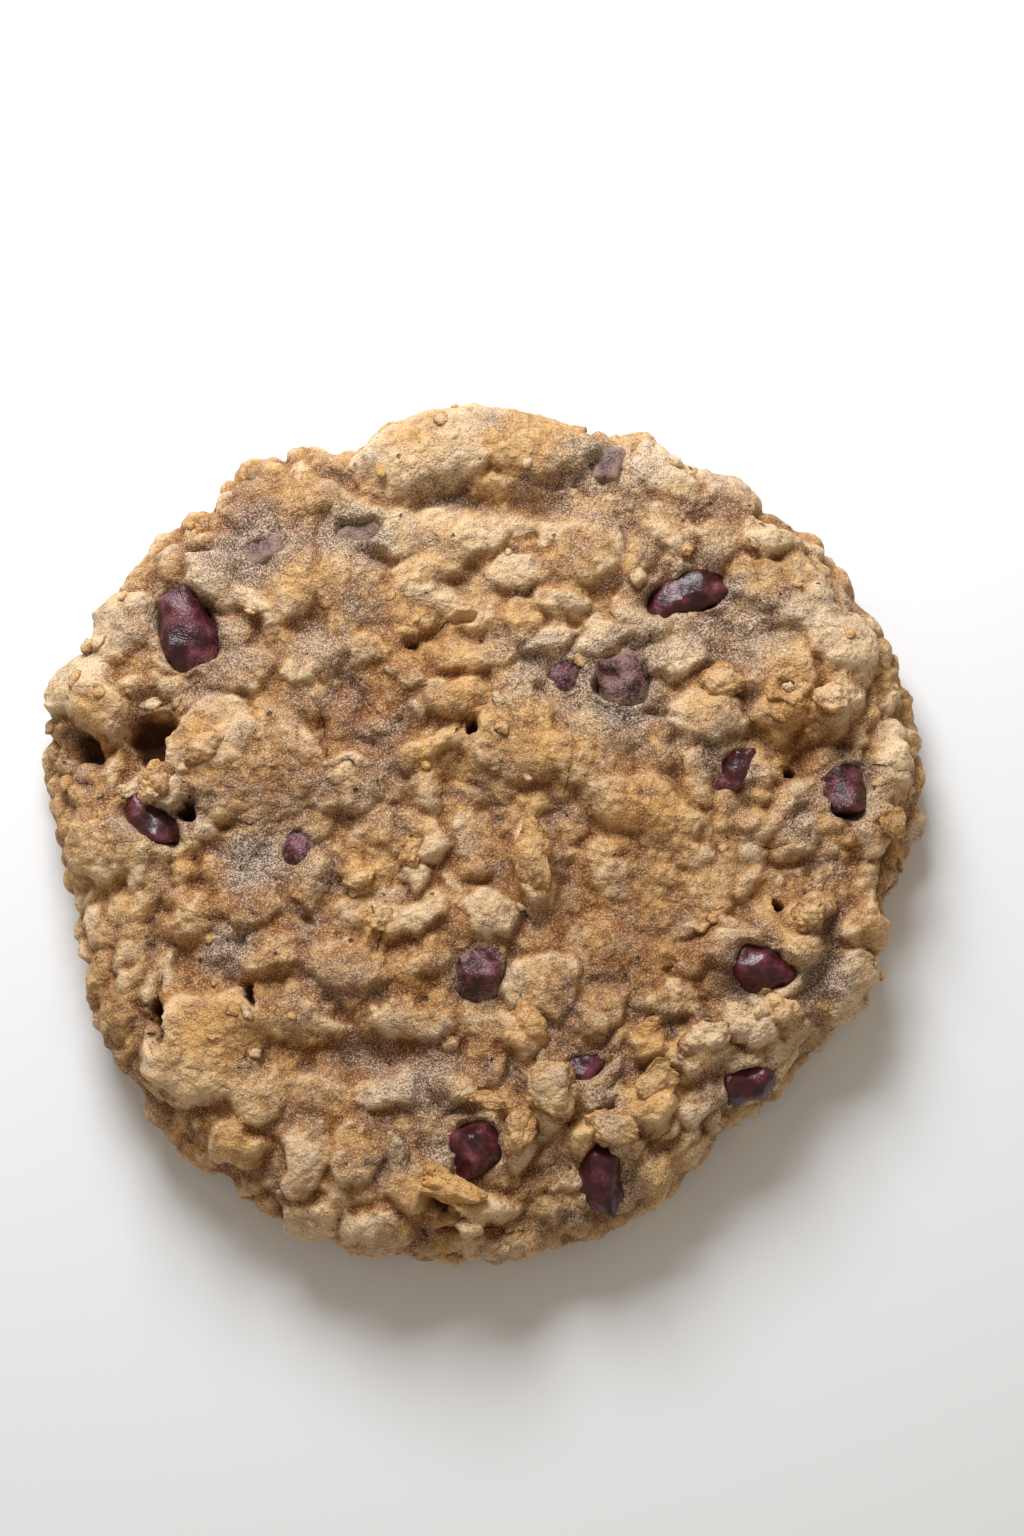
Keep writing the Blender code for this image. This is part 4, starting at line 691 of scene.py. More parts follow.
# x, y, radius, strength of the gold on what stands nearest to the heat
TOASTED = (
    (21, 0.5, 6.5, 0.8), (6.4, -6.7, 3.4, 0.9), (-34.6, -27.1, 6.6, 0.75), (8, 10.3, 6, 0.6),
    (-36.4, 10.5, 4, 0.7), (38.4, 14.5, 5.2, 0.9), (28, 14.5, 3.6, 0.5), (22, -30.1, 3, 1),
    (22, -37.5, 4.4, 0.9), (28.4, -30.7, 3.4, 0.7), (-5, -48.9, 5, 1), (14.8, -42.3, 3.6, 0.8),
    (8.6, -36.1, 3.2, 0.6), (42.2, -12.5, 3, 0.9), (41.2, -17.7, 3.2, 0.7), (-15.6, -7.5, 3.2, 0.7),
    (-13.4, -13.5, 3.4, 0.6), (-6.8, -22.1, 3.6, 0.8), (-4, -16.9, 4, 0.7), (-2.4, 15.5, 4, 0.8),
    (-7.2, 8.5, 3.6, 0.7), (0.6, 44.4, 3.4, 0.5), (-8, 49.8, 5, 0.5), (-23.8, 31.8, 3.8, 0.7),
    (-48, 13, 3.6, 0.8), (-38.6, -6.7, 3, 0.7), (-45, -14.1, 4.4, 0.6), (-30.4, -41.5, 3.6, 0.6),
    (-16, -42.5, 4, 0.5), (51.4, -0.1, 4, 0.7), (50.2, -14.1, 3.4, 0.5), (-8.6, 22.7, 5, 0.5),
    (4.6, -28.1, 3, 0.6), (-10, -1.7, 3.4, 0.5), (-43, 20.5, 4, 0.4), (-21.6, -47.7, 3.6, 0.4),
)
# Where the whole crust is paler or deeper than elsewhere, partly its own colour and partly painted light and
# shade, as the painted shadow in the hollow below the ring: x, y, radius, how deep (below 0) or pale
SHADES = (
    (24, 20, 10, 0.8), (42, 27, 10, 1), (50, 14, 7, 0.8), (2, 49, 11, 0.6), (23, 49, 8, 1.4),
    (-8, 41, 7, 1.4), (-10, 50, 6, -0.6), (11, 33, 6, -0.9), (-46, 22, 8, 0.6), (-50, -10, 8, 1),
    (41, -31, 8, 1.6), (26, -43, 8, 1.7), (-18, -48, 8, 0.7), (2, 28, 6, 0.5), (-31, -9, 6, -1.8),
    (-20, 29, 7, -1), (-10, 20, 6, -1), (40, 8.6, 6, -2.4), (16, -20, 12, -1.4), (-14, -29, 11, -1.5),
    (31, -20, 7, -1.2), (-28, -19, 8, -0.8), (-50, 3, 7, -1.2), (-31, 40, 6, -1.5), (-16, 11, 7, -0.9),
    (29, 40, 6, -1.1), (-10, -10, 5, 1), (11, 20, 4, 0.8), (30, 20, 5, -0.9), (51, -10, 6, -0.7),
)
print(len(STAINS), "stains,", len(TOASTED), "golden places and", len(SHADES), "shades")

# %% Note crest, depth, tint, stain and shade on each point
# A form stands out by the height that two blurs of the relief leave: how often each blurs, how high such
# forms rise, and how much they count.
NEAR_BLUR, NEAR_RISE, NEAR_SHARE = 6, 0.30, 0.4
FAR_BLUR, FAR_RISE, FAR_SHARE = 45, 0.75, 0.5
DEEP_FROM, DEEP_TO = 0.9, 4.2
MOST_TINT = 1.2
# Past each chip's mouth the crust is dusty with chocolate, that far and that strongly.
DUST_REACH = 2.0
DUST_SHARE = 0.58
# What is noted for plain dough that lies nowhere near a feature.
PLAIN_DOUGH = {"deep": 0, "tint": 0, "stain": 0, "toasted": 0, "beside": NO_SPLIT, "gape": 0, "shade": 0}


def shades(x, y):
    """How pale the crust is painted there against the rest of it, partly its own colour and partly painted
    light and shade.
    """
    return sum(pale * np.exp(-((x - a) ** 2 + (y - b) ** 2) / radius**2) for a, b, radius, pale in SHADES)


def blurred(height, passes):
    """The relief with its small forms smoothed away, worked out on the grid that the sheet came from."""
    side = SHEET_CELLS + 1
    order = np.lexsort((grid_u, grid_v))
    field = height[order].reshape(side, side)
    for _ in range(passes):
        field = np.pad(field, 1, mode="edge")
        around = field[:-2, 1:-1] + field[2:, 1:-1] + field[1:-1, :-2] + field[1:-1, 2:]
        field = (around + 2 * field[1:-1, 1:-1]) / 6
    back = np.empty_like(height)
    back[order] = field.ravel()
    return back


def note(obj, name, values):
    """Keeps one number on each point of a piece."""
    obj.data.attributes.new(name, "FLOAT", "POINT").data.foreach_set("value", values.astype(np.float32))


def note_evenly(obj, **values):
    """Keeps the same numbers on all points of a piece, as on plain dough where none is given."""
    for name, value in {**PLAIN_DOUGH, **values}.items():
        note(obj, name, np.full(len(obj.data.vertices), value))


side = SHEET_CELLS + 1
grid_u, grid_v = np.tile(np.arange(side), side), np.repeat(np.arange(side), side)
whole = crust["whole"]
near_blur, far_blur = blurred(whole, NEAR_BLUR), blurred(whole, FAR_BLUR)
crest = NEAR_SHARE * (whole - near_blur) / NEAR_RISE + FAR_SHARE * (near_blur - far_blur) / FAR_RISE
# The crest is painted as light on crests and shade in hollows, and the depth as painted shade in pits.
note(dough, "crest", np.clip(0.5 + 0.5 * crest, 0, 1))
note(dough, "deep", smooth(DEEP_FROM, DEEP_TO, far_blur - crust["height"]))
note(dough, "beside", crust["beside"])
note(dough, "gape", crust["gape"])
note(dough, "tint", np.clip(crust["tint"], -MOST_TINT, MOST_TINT))
dust = [(chip[1], chip[2], chip[-2] + DUST_REACH, DUST_SHARE) for chip in CHIPS.values()]
note(dough, "stain", spots(u, v, STAINS + tuple(dust)))
note(dough, "toasted", spots(u, v, TOASTED))
note(dough, "shade", shades(u, v))
print("crest from", round(float(crest.min()), 2), "to", round(float(crest.max()), 2))

# %% [markdown]
# ## The sole
# Underneath, the dough has set flat against its tray. The sole is a second, coarser sheet with only a
# slight relief, and the two rims are joined with a bridge, as two loops of edges of different counts can
# be.

# %% Make the sole and bridge it to the crust
SOLE_CELLS = 60
SOLE_SHARE = 0.985
SOLE_RELIEF = 0.22
SOLE_RIPPLES = ((5.0, 1.0), (1.9, 0.6))
SOLE_FADE = 12
SOLE_CREST = 0.55
SOLE_TOAST = 0.45

deselect()
bpy.ops.mesh.primitive_grid_add(x_subdivisions=SOLE_CELLS, y_subdivisions=SOLE_CELLS, size=2)
sole = bpy.context.object
sole_u, sole_v = press_round(sole, SKIN_RADIUS)
share = np.hypot(sole_u, sole_v) / SKIN_RADIUS
around = np.arctan2(sole_v, sole_u)
foot_points, _ = wrap(SKIN_RADIUS * np.cos(around), SKIN_RADIUS * np.sin(around))
sole_points = np.zeros((len(share), 3))
sole_points[:, 0] = foot_points[:, 0] * share * SOLE_SHARE
sole_points[:, 1] = foot_points[:, 1] * share * SOLE_SHARE
hollows = sum(
    rise * ripple(sole_u, sole_v, size, seed) for seed, (size, rise) in enumerate(SOLE_RIPPLES, 61)
)
sole_points[:, 2] = SOLE_RELIEF * np.clip(hollows, 0, 1) * np.clip((1 - share) * SOLE_FADE, 0, 1)
set_points(sole, sole_points)
note_evenly(sole, crest=SOLE_CREST, toasted=SOLE_TOAST)
only(sole)
bpy.ops.object.mode_set(mode="EDIT")
bpy.ops.mesh.select_all(action="SELECT")
bpy.ops.mesh.flip_normals()
bpy.ops.object.mode_set(mode="OBJECT")

only(dough)
sole.select_set(True)
bpy.ops.object.join()
bpy.ops.object.mode_set(mode="EDIT")
bpy.ops.mesh.select_mode(type="EDGE")
bpy.ops.mesh.select_all(action="DESELECT")
bpy.ops.mesh.select_non_manifold()
bpy.ops.mesh.bridge_edge_loops()
bpy.ops.mesh.select_all(action="SELECT")
bpy.ops.mesh.normals_make_consistent(inside=False)
bpy.ops.object.mode_set(mode="OBJECT")
bpy.ops.object.shade_smooth()


def triangles(obj):
    """How many triangles a piece has."""
    obj.data.calc_loop_triangles()
    return len(obj.data.loop_triangles)


print("the dough has", triangles(dough), "triangles")

# %% [markdown]
# ## Shader maths as sums
# A finish is a long sum of noises and masks. One small class wraps a socket, so that an expression such
# as 1 - mask * 0.5 adds the Math nodes by itself, and one method adds any other node. A short method is
# kept for each thing done often: noise, a net of cells, and colours laid over one another.

# %% A wire that can be added
class Wire:
    """A socket of numbers that takes part in sums."""

    def __init__(self, finish, socket):
        self.finish, self.socket = finish, socket

    def sum(self, operation, *values):
        """One Math node."""
        return self.finish.node("Math", {"operation": operation}, dict(enumerate(values)))

    def size(self):
        """The number without its sign."""
        return self.sum("ABSOLUTE", self)

    def or_more(self, other):
        """The larger of two numbers."""
        return self.sum("MAXIMUM", self, other)

    def __add__(self, other):
        return self.sum("ADD", self, other)

    def __sub__(self, other):
        return self.sum("SUBTRACT", self, other)

    def __rsub__(self, other):
        return self.sum("SUBTRACT", other, self)

    def __mul__(self, other):
        return self.sum("MULTIPLY", self, other)

    __radd__, __rmul__ = __add__, __mul__

    def step(self, low, high):
        """A soft step from 0 below low to 1 above high."""
        limits = {"Value": self, "From Min": low, "From Max": high}
        return self.finish.node("MapRange", {"interpolation_type": "SMOOTHSTEP"}, limits)


# %% A finish that holds the nodes
class Finish:
    """A material under construction."""

    def __init__(self, name):
        self.material = bpy.data.materials.new(name)
        self.material.use_nodes = True
        self.tree = self.material.node_tree
        self.tree.nodes.clear()

    def node(self, kind, settings=None, inputs=None, output=0):
        """Adds a node: its settings first, then the values or wires of its sockets."""
        made = self.tree.nodes.new("ShaderNode" + kind)
        for key, value in (settings or {}).items():
            setattr(made, key, value)
        for key, value in (inputs or {}).items():
            if isinstance(value, Wire):
                self.tree.links.new(value.socket, made.inputs[key])
            else:
                made.inputs[key].default_value = value
        return Wire(self, made.outputs[output])

    def noted(self, name):
        """A number that the mesh keeps on its points."""
        return self.node("Attribute", {"attribute_name": name}, output="Fac")

    def places(self):
        """The piece's own places, in millimetres."""
        own = self.node("TexCoord", output="Object")
        return self.node("VectorMath", {"operation": "SCALE"}, {0: own, "Scale": 1 / MM})

    def grain(self, where, size, detail=2.0, rough=0.55, warp=0.0):
        """Noise with forms about that many millimetres big."""
        inputs = {"Vector": where, "Scale": 1 / size, "Detail": detail, "Roughness": rough}
        return self.node("TexNoise", {}, {**inputs, "Distortion": warp})

    def cells(self, where, scale, output="Distance", feature="F1"):
        """A net of cells: how far each place is from its cell's middle or edge, or a colour for each cell."""
        return self.node("TexVoronoi", {"feature": feature}, {"Vector": where, "Scale": scale}, output)

    def blend(self, share, first, second):
        """One colour over another."""
        return self.node("Mix", {"data_type": "RGBA"}, {0: share, 6: first, 7: second}, output=2)

    def paint(self, colour, layers):
        """Lays colours one after another over a first one, each by its share."""
        for share, layer in layers:
            colour = self.blend(share, colour, layer)
        return colour

    def close(self, **sockets):
        """Ends the material in a Principled shader with these sockets."""
        inputs = {key.replace("_", " "): value for key, value in sockets.items()}
        shader = self.node("BsdfPrincipled", {}, inputs)
        end = self.tree.nodes.new("ShaderNodeOutputMaterial")
        self.tree.links.new(shader.socket, end.inputs["Surface"])
        return self.material


# %% A colour as on a screen
def tone(red, green, blue):
    """A colour given as on a screen, 0 to 255, as the shader wants it."""
    channels = [c / 255 for c in (red, green, blue)]
    return (*(c / 12.92 if c <= 0.04045 else ((c + 0.055) / 1.055) ** 2.4 for c in channels), 1)


print("tone(255, 128, 0) is", [round(c, 3) for c in tone(255, 128, 0)])

# %% [markdown]
# ## The crust's finish
# Baked oat dough is dry and matte. Its colour goes from cream and gold on the crests to taupe in the
# hollows and brown in the pits, with dark specks everywhere, thickest where a chip lies just under the
# film. The pale crests are partly painted light; the darker hollows and pits and the near-black splits,
# hairline cracks and pores are painted shade. The bump adds the powdery grain that is too fine for the mesh.

# %% Name the crust's colours
# The darker browns below are mostly painted shade for hollows, nooks, pits and cracks, and the cream is
# partly a painted highlight on crests.
SHADY = tone(134, 80, 28)
CRUST = tone(208, 162, 102)
CREAM_AND_HIGHLIGHT = tone(234, 211, 178)
GOLD = tone(208, 154, 82)
NOOK_SHADE = tone(106, 60, 20)
HAZE = tone(158, 135, 116)
FILM = tone(146, 121, 103)
SMUDGE = tone(84, 60, 50)
SPECK = tone(64, 31, 10)
FLOUR = tone(232, 212, 188)
PIT_SHADE = tone(66, 28, 3)
CRACK_SHADOW = tone(36, 16, 6)
print("the crust goes from", [round(c, 2) for c in CRACK_SHADOW[:3]], "to", [round(c, 2) for c in CREAM_AND_HIGHLIGHT[:3]])

# %% Mix the crust
CRUST_GRAIN = 0.42 * MM


def make_crust_finish():
    """The dough's material, from its palest crests to its pits, with light and shade painted in from the
    relief.
    """
    finish = Finish("baked_oat_crust")
    where = finish.places()
    crest, deep, shade = finish.noted("crest"), finish.noted("deep"), finish.noted("shade")
    tint, stain, toasted = finish.noted("tint"), finish.noted("stain"), finish.noted("toasted")
    patches = finish.grain(where, 8.0, 2.0, 0.5) - 0.5
    clouds = finish.grain(where, 3.1, 3.0, 0.6, 0.4) - 0.5
    mottle = finish.grain(where, 1.15, 3.0, 0.65) - 0.5
    powder = finish.grain(where, 0.40, 2.0, 0.75) - 0.5
    specks = finish.grain(where, 0.21, 1.0, 0.6) - 0.5

    drift = finish.node("TexNoise", {}, {"Vector": where, "Scale": 0.5, "Detail": 3.0}, output="Color")
    torn = finish.node("VectorMath", {"operation": "MULTIPLY_ADD"}, {0: drift, 1: (2.4, 2.4, 2.4), 2: where})
    knobs = 0.45 - finish.cells(torn, 0.62)
    fields = finish.grain(where, 20.0, 1.0, 0.5) - 0.5
    uneven_bake = fields * 0.5 + patches * 0.4 + clouds * 0.9 + mottle * 0.8 + powder * 1.1
    # Painted light and shade: high crests and knob tops are painted paler and low places darker, with the
    # bake's own random unevenness mixed in.
    crest_light_and_bake = (crest * 0.62 + 0.20 + shade * 0.18 + knobs * 0.3 + uneven_bake).step(0.10, 0.88)
    # The cream is partly the pale oats and partly a painted highlight on the crests.
    pale = crest + tint * 0.3 + shade * 0.15 + patches + mottle * 0.9 + powder * 0.9
    cream = (pale - toasted * 0.25).step(0.45, 1.10)
    patchy = patches * 1.1 + clouds * 1.2 + mottle * 1.1 + powder * 0.6
    gold = (toasted * 0.8 + tint * 0.2 + crest * 0.3 + patchy).step(0.25, 1.1)
    # Painted shade: creases between knobs and low places are painted dark brown.
    nook_shade = (0.34 - crest * 0.6 - knobs * 0.5 + mottle * 0.8 + powder * 0.6).step(0.04, 0.46)
    haze = (stain * 0.9 - patches * 2.4 - clouds * 1.3 - toasted * 0.5 + powder * 0.8).step(-0.15, 0.75)
    film = (stain * 1.2 + mottle + powder * 1.6).step(0.30, 1.0)
    smudged = (stain * 1.5 + clouds * 0.7 + mottle * 0.7 - 0.95).step(0.0, 0.5)
    gritty = specks * 1.9 + powder * 1.1
    speckled = (gritty + mottle * 0.3 + haze * 0.14 + stain * 0.22 - crest * 0.12).step(0.06, 0.40)
    floury = (haze * 0.08 + stain * 0.20 - gritty).step(0.07, 0.46)
    # Painted shade: pits and deep hollows are painted dark brown.
    sunk = (deep + mottle * 0.5).step(0.20, 1.0)

    # Painted shadow: open splits, a web of hairline cracks and a few pores are painted near black.
    jagged = finish.grain(where, 1.5, 3.0, 0.7) - 0.5
    beside = (finish.noted("beside") + jagged * 0.9).size()
    broken = (patches + clouds * 1.4 + mottle + 0.18).step(0.05, 0.5)
    gape = finish.noted("gape")
    open_split = (gape * 0.08 - beside + mottle * 0.3 + clouds * 0.5).step(-0.05, 0.08) * broken
    web = finish.cells(torn, 0.24, feature="DISTANCE_TO_EDGE")
    dull = (0 - clouds - patches * 0.6 - crest * 0.25).step(0.02, 0.14)
    hairline = (0.022 - web).step(-0.012, 0.012) * dull
    pocket = finish.cells(where, 0.38)
    chosen = (finish.cells(where, 0.38, output="Color") + haze * 0.1).step(0.66, 0.70)
    pore = (0.10 - pocket + powder * 0.35 + mottle * 0.35).step(-0.02, 0.05) * chosen
    crack_shadow = open_split.or_more(hairline * 0.4).or_more(pore * 0.9)
    colour = finish.paint(finish.blend(crest_light_and_bake, SHADY, CRUST), (
        (cream * 0.68, CREAM_AND_HIGHLIGHT), (gold * 0.66, GOLD), (nook_shade * 0.42, NOOK_SHADE), (haze * 0.55, HAZE),
        (film * 0.75, FILM), (smudged * 0.6, SMUDGE), (speckled * 0.56, SPECK),
        (floury * 0.52, FLOUR), (sunk * 0.85, PIT_SHADE), (crack_shadow * 0.85, CRACK_SHADOW),
    ))

    bumps = knobs * 1.1 + powder * 0.4 + mottle * 0.9 - speckled * 0.12 + specks * 0.2 - crack_shadow * 1.6
    normal = finish.node("Bump", {}, {"Distance": CRUST_GRAIN, "Height": bumps})
    rough = 0.88 - gold * 0.14
    return finish.close(Base_Color=colour, Roughness=rough, Normal=normal, Specular_IOR_Level=0.25)


# %% Dress the dough
dough.data.materials.clear()
dough.data.materials.append(make_crust_finish())
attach(dough, "root")
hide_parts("dough")
print("the crust replaces the packed dough")

# %% [markdown]
# ## Loose crumb and bare flakes
# Where the dough was torn, small lumps of it and a few bare oat flakes stand free on the crust. They are
# what the eye picks out first, because each took the heat in its own way. A round lump is modelled once
# in fine mesh and once in coarse mesh, and each copy is dented, flattened and sunk into the crust. A flake
# is a lump pressed thin and cupped, and one flake has curled into a ring, which starts as a torus. The
# large ones are listed one by one and the rest are strewn thickest near the rim.

# %% List the large lumps
# x, y, half length, half width, half thickness, turn, lean, cup, cream from -1 to 1, gold from 0 to 1
LUMPS = (
    (22.3, -35.4, 2.9, 2.4, 0.9, 30, 12, 0.1, 0.9, 0.6),
    (21.7, -27.8, 2, 1.2, 0.9, 20, 8, 0, 0.6, 0.8),
    (28.6, -30, 3.2, 2.2, 1.7, 28, 5, 0, 1, 0.15),
    (8.7, -34.8, 2.9, 3.3, 1.6, 0, 5, 0, 0.9, 0.3),
    (16.4, -40.6, 3.4, 2, 1.5, -22, 5, 0, 0.8, 0.45),
    (-4.4, -47.2, 3.9, 1.7, 1.5, -20, 6, 0, 0.3, 0.9),
    (-3.2, -50.4, 1, 1, 0.8, 10, 5, 0, 0.4, 0.9),
    (-10.6, -43.4, 1.2, 2.8, 0.9, 8, 14, 0.06, 0.9, 0.1),
    (2.8, -55, 0.9, 0.9, 0.8, 0, 0, 0, 1, 0),
    (52.3, -0.6, 2, 1.9, 0.9, 0, 6, 0.08, 0.3, 0.7),
    (38.4, 16.4, 0.7, 0.6, 0.6, 0, 0, 0, 1, 0.1),
    (30.4, 17.2, 2.7, 2.4, 1.3, 0, 6, 0, 0.4, 0.45),
    (43.7, 14.3, 2, 1.9, 1.6, 0, 0, 0, 0.9, 0.25),
    (5.9, -27.5, 1.7, 3.3, 0.7, 26, 10, -0.12, 0.2, 0.5),
    (0.6, -36.2, 2.4, 1.1, 0.6, -14, 16, 0.1, 0.5, 0.5),
    (4.6, -40.6, 1.9, 3, 1.5, -12, 5, 0, 0.6, 0.6),
    (-1.8, -52, 1.5, 1.4, 1.2, 0, 0, 0, 0.7, 0.2),
    (39.6, -26.3, 2.4, 2.2, 1.8, 10, 0, 0, 0.9, 0.45),
    (34.2, -27.6, 2.4, 2.6, 1.2, 35, 8, 0, 0.8, 0),
    (-43.8, 5, 2.7, 1.3, 0.9, 35, 20, 0.14, 1, 0),
    (-41.9, 3.4, 1.9, 1.9, 1.4, 0, 4, 0, 0.9, 0.1),
    (-40.7, 4.6, 2.3, 1.9, 1.3, 70, 4, 0, -0.2, 0.5),
    (-45.6, 3.8, 1.1, 0.8, 0.7, 0, 0, 0, 1, 0),
    (-35.2, 8.6, 2.5, 2.3, 1.3, 40, 6, 0, 0.4, 0.5),
    (-42.5, 15.4, 1.6, 1, 0.8, 20, 4, 0, 0.9, 0.1),
    (43.5, -8.4, 1.9, 1.3, 0.9, 40, 6, 0, 0.6, 0.4),
    (42, -13, 1.9, 1.8, 1.5, 0, 0, 0, 0.7, 0.5),
    (-15.6, -8.2, 1.9, 1.3, 0.8, 30, 8, 0, 0.9, 0.5),
    (-12.8, -13.2, 1.6, 1.4, 0.9, 60, 8, 0, 0.8, 0.3),
    (-9, -4.8, 2.2, 1.3, 0.9, 80, 10, 0, 0.4, 0.7),
    (6.3, -5.8, 2.3, 4.7, 1.8, 6, 8, 0, 0.4, 0.6),
)
# The ring: x, y, its three sizes, turn, lean, cup, cream, gold, where its noise is read.
CURL = (38.4, 16.4, (1.75, 1.6, 1.2), 0, 4, 0, 0.9, 0.45, Vector((3, 1, 2)))
CURL_THICKNESS = 0.40
print(len(LUMPS), "lumps and a ring placed by hand")

# %% Shape a lump and sink it
# How fine the dents are and how deep, and how fine and strong the skew of the whole lump is.
CRUMB_DENTS = ((1.6, 0.34), (3.4, 0.15), (7.0, 0.04))
DENT_LEVEL = 0.2
SKEW_FINE, LUMP_SKEW = 0.9, 0.5
SUNK = 0.42
HEADROOM = 0.1 * MM
# A lump's crest rises from its underside to its top, so its top is painted paler and its underside darker, as
# painted light and shade.
LOW_CREST, CREST_GAIN = 0.30, 0.55


def copy_lump(source, name):
    """A copy of a lump with a mesh of its own."""
    lump = bpy.data.objects.new(name, source.data.copy())
    bpy.context.scene.collection.objects.link(lump)
    return lump


def lay_lump(lump, x, y, sizes, turn, lean, cup, cream, gold, own):
    """Dents a lump, gives it its size, and sinks it in the crust at x, y."""
    rest = np.empty(len(lump.data.vertices) * 3)
    lump.data.vertices.foreach_get("co", rest)
    rest = rest.reshape(-1, 3)
    swollen = []
    for spot in map(Vector, rest):
        dents = sum(
            rise * (abs(noise.noise(spot * fine + own)) - DENT_LEVEL) for fine, rise in CRUMB_DENTS
        )
        swollen.append(1 + dents + LUMP_SKEW * noise.noise(spot * SKEW_FINE + own))
    shaped = rest * np.array(swollen)[:, None] * np.array(sizes)
    shaped[:, 2] += cup * (shaped[:, 0] ** 2 + shaped[:, 1] ** 2)
    nearest = int(np.argmin((u - x) ** 2 + (v - y) ** 2))
    seat = Vector(points[nearest] + outward[nearest] * sizes[2] * (1 - 2 * SUNK))
    upright = Vector((0, 0, 1)).rotation_difference(Vector(outward[nearest])).to_matrix().to_4x4()
    side = Matrix.Rotation(math.radians(turn), 4, "Z") @ Matrix.Rotation(math.radians(lean), 4, "X")
    lump.data.vertices.foreach_set("co", shaped.ravel())
    lump.data.transform(Matrix.Scale(MM, 4) @ Matrix.Translation(seat) @ upright @ side)
    too_high = max(vert.co.z for vert in lump.data.vertices) - cad_box[1][2] + HEADROOM
    lump.data.transform(Matrix.Translation((0, 0, -max(too_high, 0))))
    note_evenly(lump, tint=cream, toasted=gold, shade=shades(x, y))
    # Painted light and shade: higher points on the lump are noted as crest, so they are painted paler.
    note(lump, "crest", np.clip(LOW_CREST + CREST_GAIN * rest[:, 2], 0, 1))


deselect()
bpy.ops.mesh.primitive_ico_sphere_add(subdivisions=5, radius=1)
large_lump = bpy.context.object
deselect()
bpy.ops.mesh.primitive_ico_sphere_add(subdivisions=3, radius=1)
small_lump = bpy.context.object
deselect()
bpy.ops.mesh.primitive_torus_add(
    major_segments=64, minor_segments=20, major_radius=1, minor_radius=CURL_THICKNESS
)
curl = bpy.context.object
lay_lump(curl, *CURL)
print("each large lump has", triangles(large_lump), "triangles, each small one", triangles(small_lump))

# %% Lay the large lumps and strew the small crumb
CRUMB_COUNT = 70
CRUMB_SEED = 71
# Small crumb is likelier towards the rim and in drifts of about that size, and none lies on the flank or
# in a hollow.
LEAST_CHANCE, RIM_CHANCE, DRIFT_CHANCE = 0.25, 1.2, 1.6
DRIFT_SIZE = 9.0
STREWN_TO = 0.86
HOLLOW_BELOW = -0.8
# What is drawn for each: the size in mm, then the shares of it in length, width and height, the lean, and
# how cream and how gold it is.
CRUMB_SIZES = (0.6, 1.7)
CRUMB_SIZE_DRAW = (1.3, 3.2)
CRUMB_SHARES = ((0.6, 1.3), (0.6, 1.0), (0.3, 0.6))
CRUMB_LEAN = (0, 25)
CRUMB_CREAM = (0.3, 0.5)
CRUMB_GOLD = (0.7, 1.2)
NOISE_REACH = 50

lumps = [curl]
for x, y, *sizes, turn, lean, cup, cream, gold in LUMPS:
    lumps.append(copy_lump(large_lump, "lump"))
    lay_lump(lumps[-1], x, y, sizes, turn, lean, cup, cream, gold, Vector((x, y, 0)))
draw = np.random.default_rng(CRUMB_SEED)
share = np.hypot(u, v) / SKIN_RADIUS
drifts = DRIFT_CHANCE * ripple(u, v, DRIFT_SIZE, 70)
chance = np.clip(LEAST_CHANCE + RIM_CHANCE * share**2 + drifts, 0, None)
chance *= (share < STREWN_TO) & (crust["height"] > HOLLOW_BELOW)
for spot in draw.choice(len(u), CRUMB_COUNT, replace=False, p=chance / chance.sum()):
    size = CRUMB_SIZES[0] + (CRUMB_SIZES[1] - CRUMB_SIZES[0]) * draw.beta(*CRUMB_SIZE_DRAW)
    sizes = [size * draw.uniform(low, high) for low, high in CRUMB_SHARES]
    turn, lean = draw.uniform(0, 180), draw.uniform(*CRUMB_LEAN)
    cream, gold = draw.normal(*CRUMB_CREAM), draw.beta(*CRUMB_GOLD)
    lumps.append(copy_lump(small_lump, "crumb"))
    own = Vector(draw.uniform(-NOISE_REACH, NOISE_REACH, 3))
    lay_lump(lumps[-1], u[spot], v[spot], sizes, turn, lean, 0, cream, gold, own)
only(lumps[0])
for lump in lumps:
    lump.select_set(True)
bpy.ops.object.join()
loose = bpy.context.object
loose.name = "loose_crumb"
bpy.ops.object.shade_smooth()
loose.data.materials.append(dough.data.materials[0])
for first in (large_lump, small_lump):
    bpy.data.objects.remove(first)
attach(loose, "root")
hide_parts("dough")
print("the loose crumb has", triangles(loose), "triangles")

# %% [markdown]
# ## The chips
# A chip starts as a drop, a bean or a block, and loses its neat form in the oven. Each is drawn up from a
# ring: the ring is extruded and resized up the chip's outline and closed at both ends. Its few corners
# are pushed out of true while it is still coarse, and a subdivision surface then softens them, which
# leaves the blunt facets of chocolate that has half melted. It is bent and turned into its seat last.

# %% List the chips' forms
# The outline of each form, as shares of the radius and of the length, from its base to its tip.
FORMS = {
    "drop": (
        (0.42, -0.45), (0.84, -0.38), (0.98, -0.24), (0.92, -0.06), (0.74, 0.12), (0.50, 0.30), (0.22, 0.46),
    ),
    "bean": (
        (0.36, -0.49), (0.76, -0.42), (0.96, -0.24), (1.00, 0.00), (0.94, 0.24), (0.72, 0.41), (0.34, 0.49),
    ),
    "block": (
        (0.58, -0.48), (0.92, -0.40), (1.00, -0.22), (0.98, 0.02), (0.95, 0.24), (0.84, 0.40), (0.50, 0.48),
    ),
}
print("each chip is drawn through", len(FORMS["drop"]), "rings")

# %% Draw up one chip
CHIP_SIDES = 6
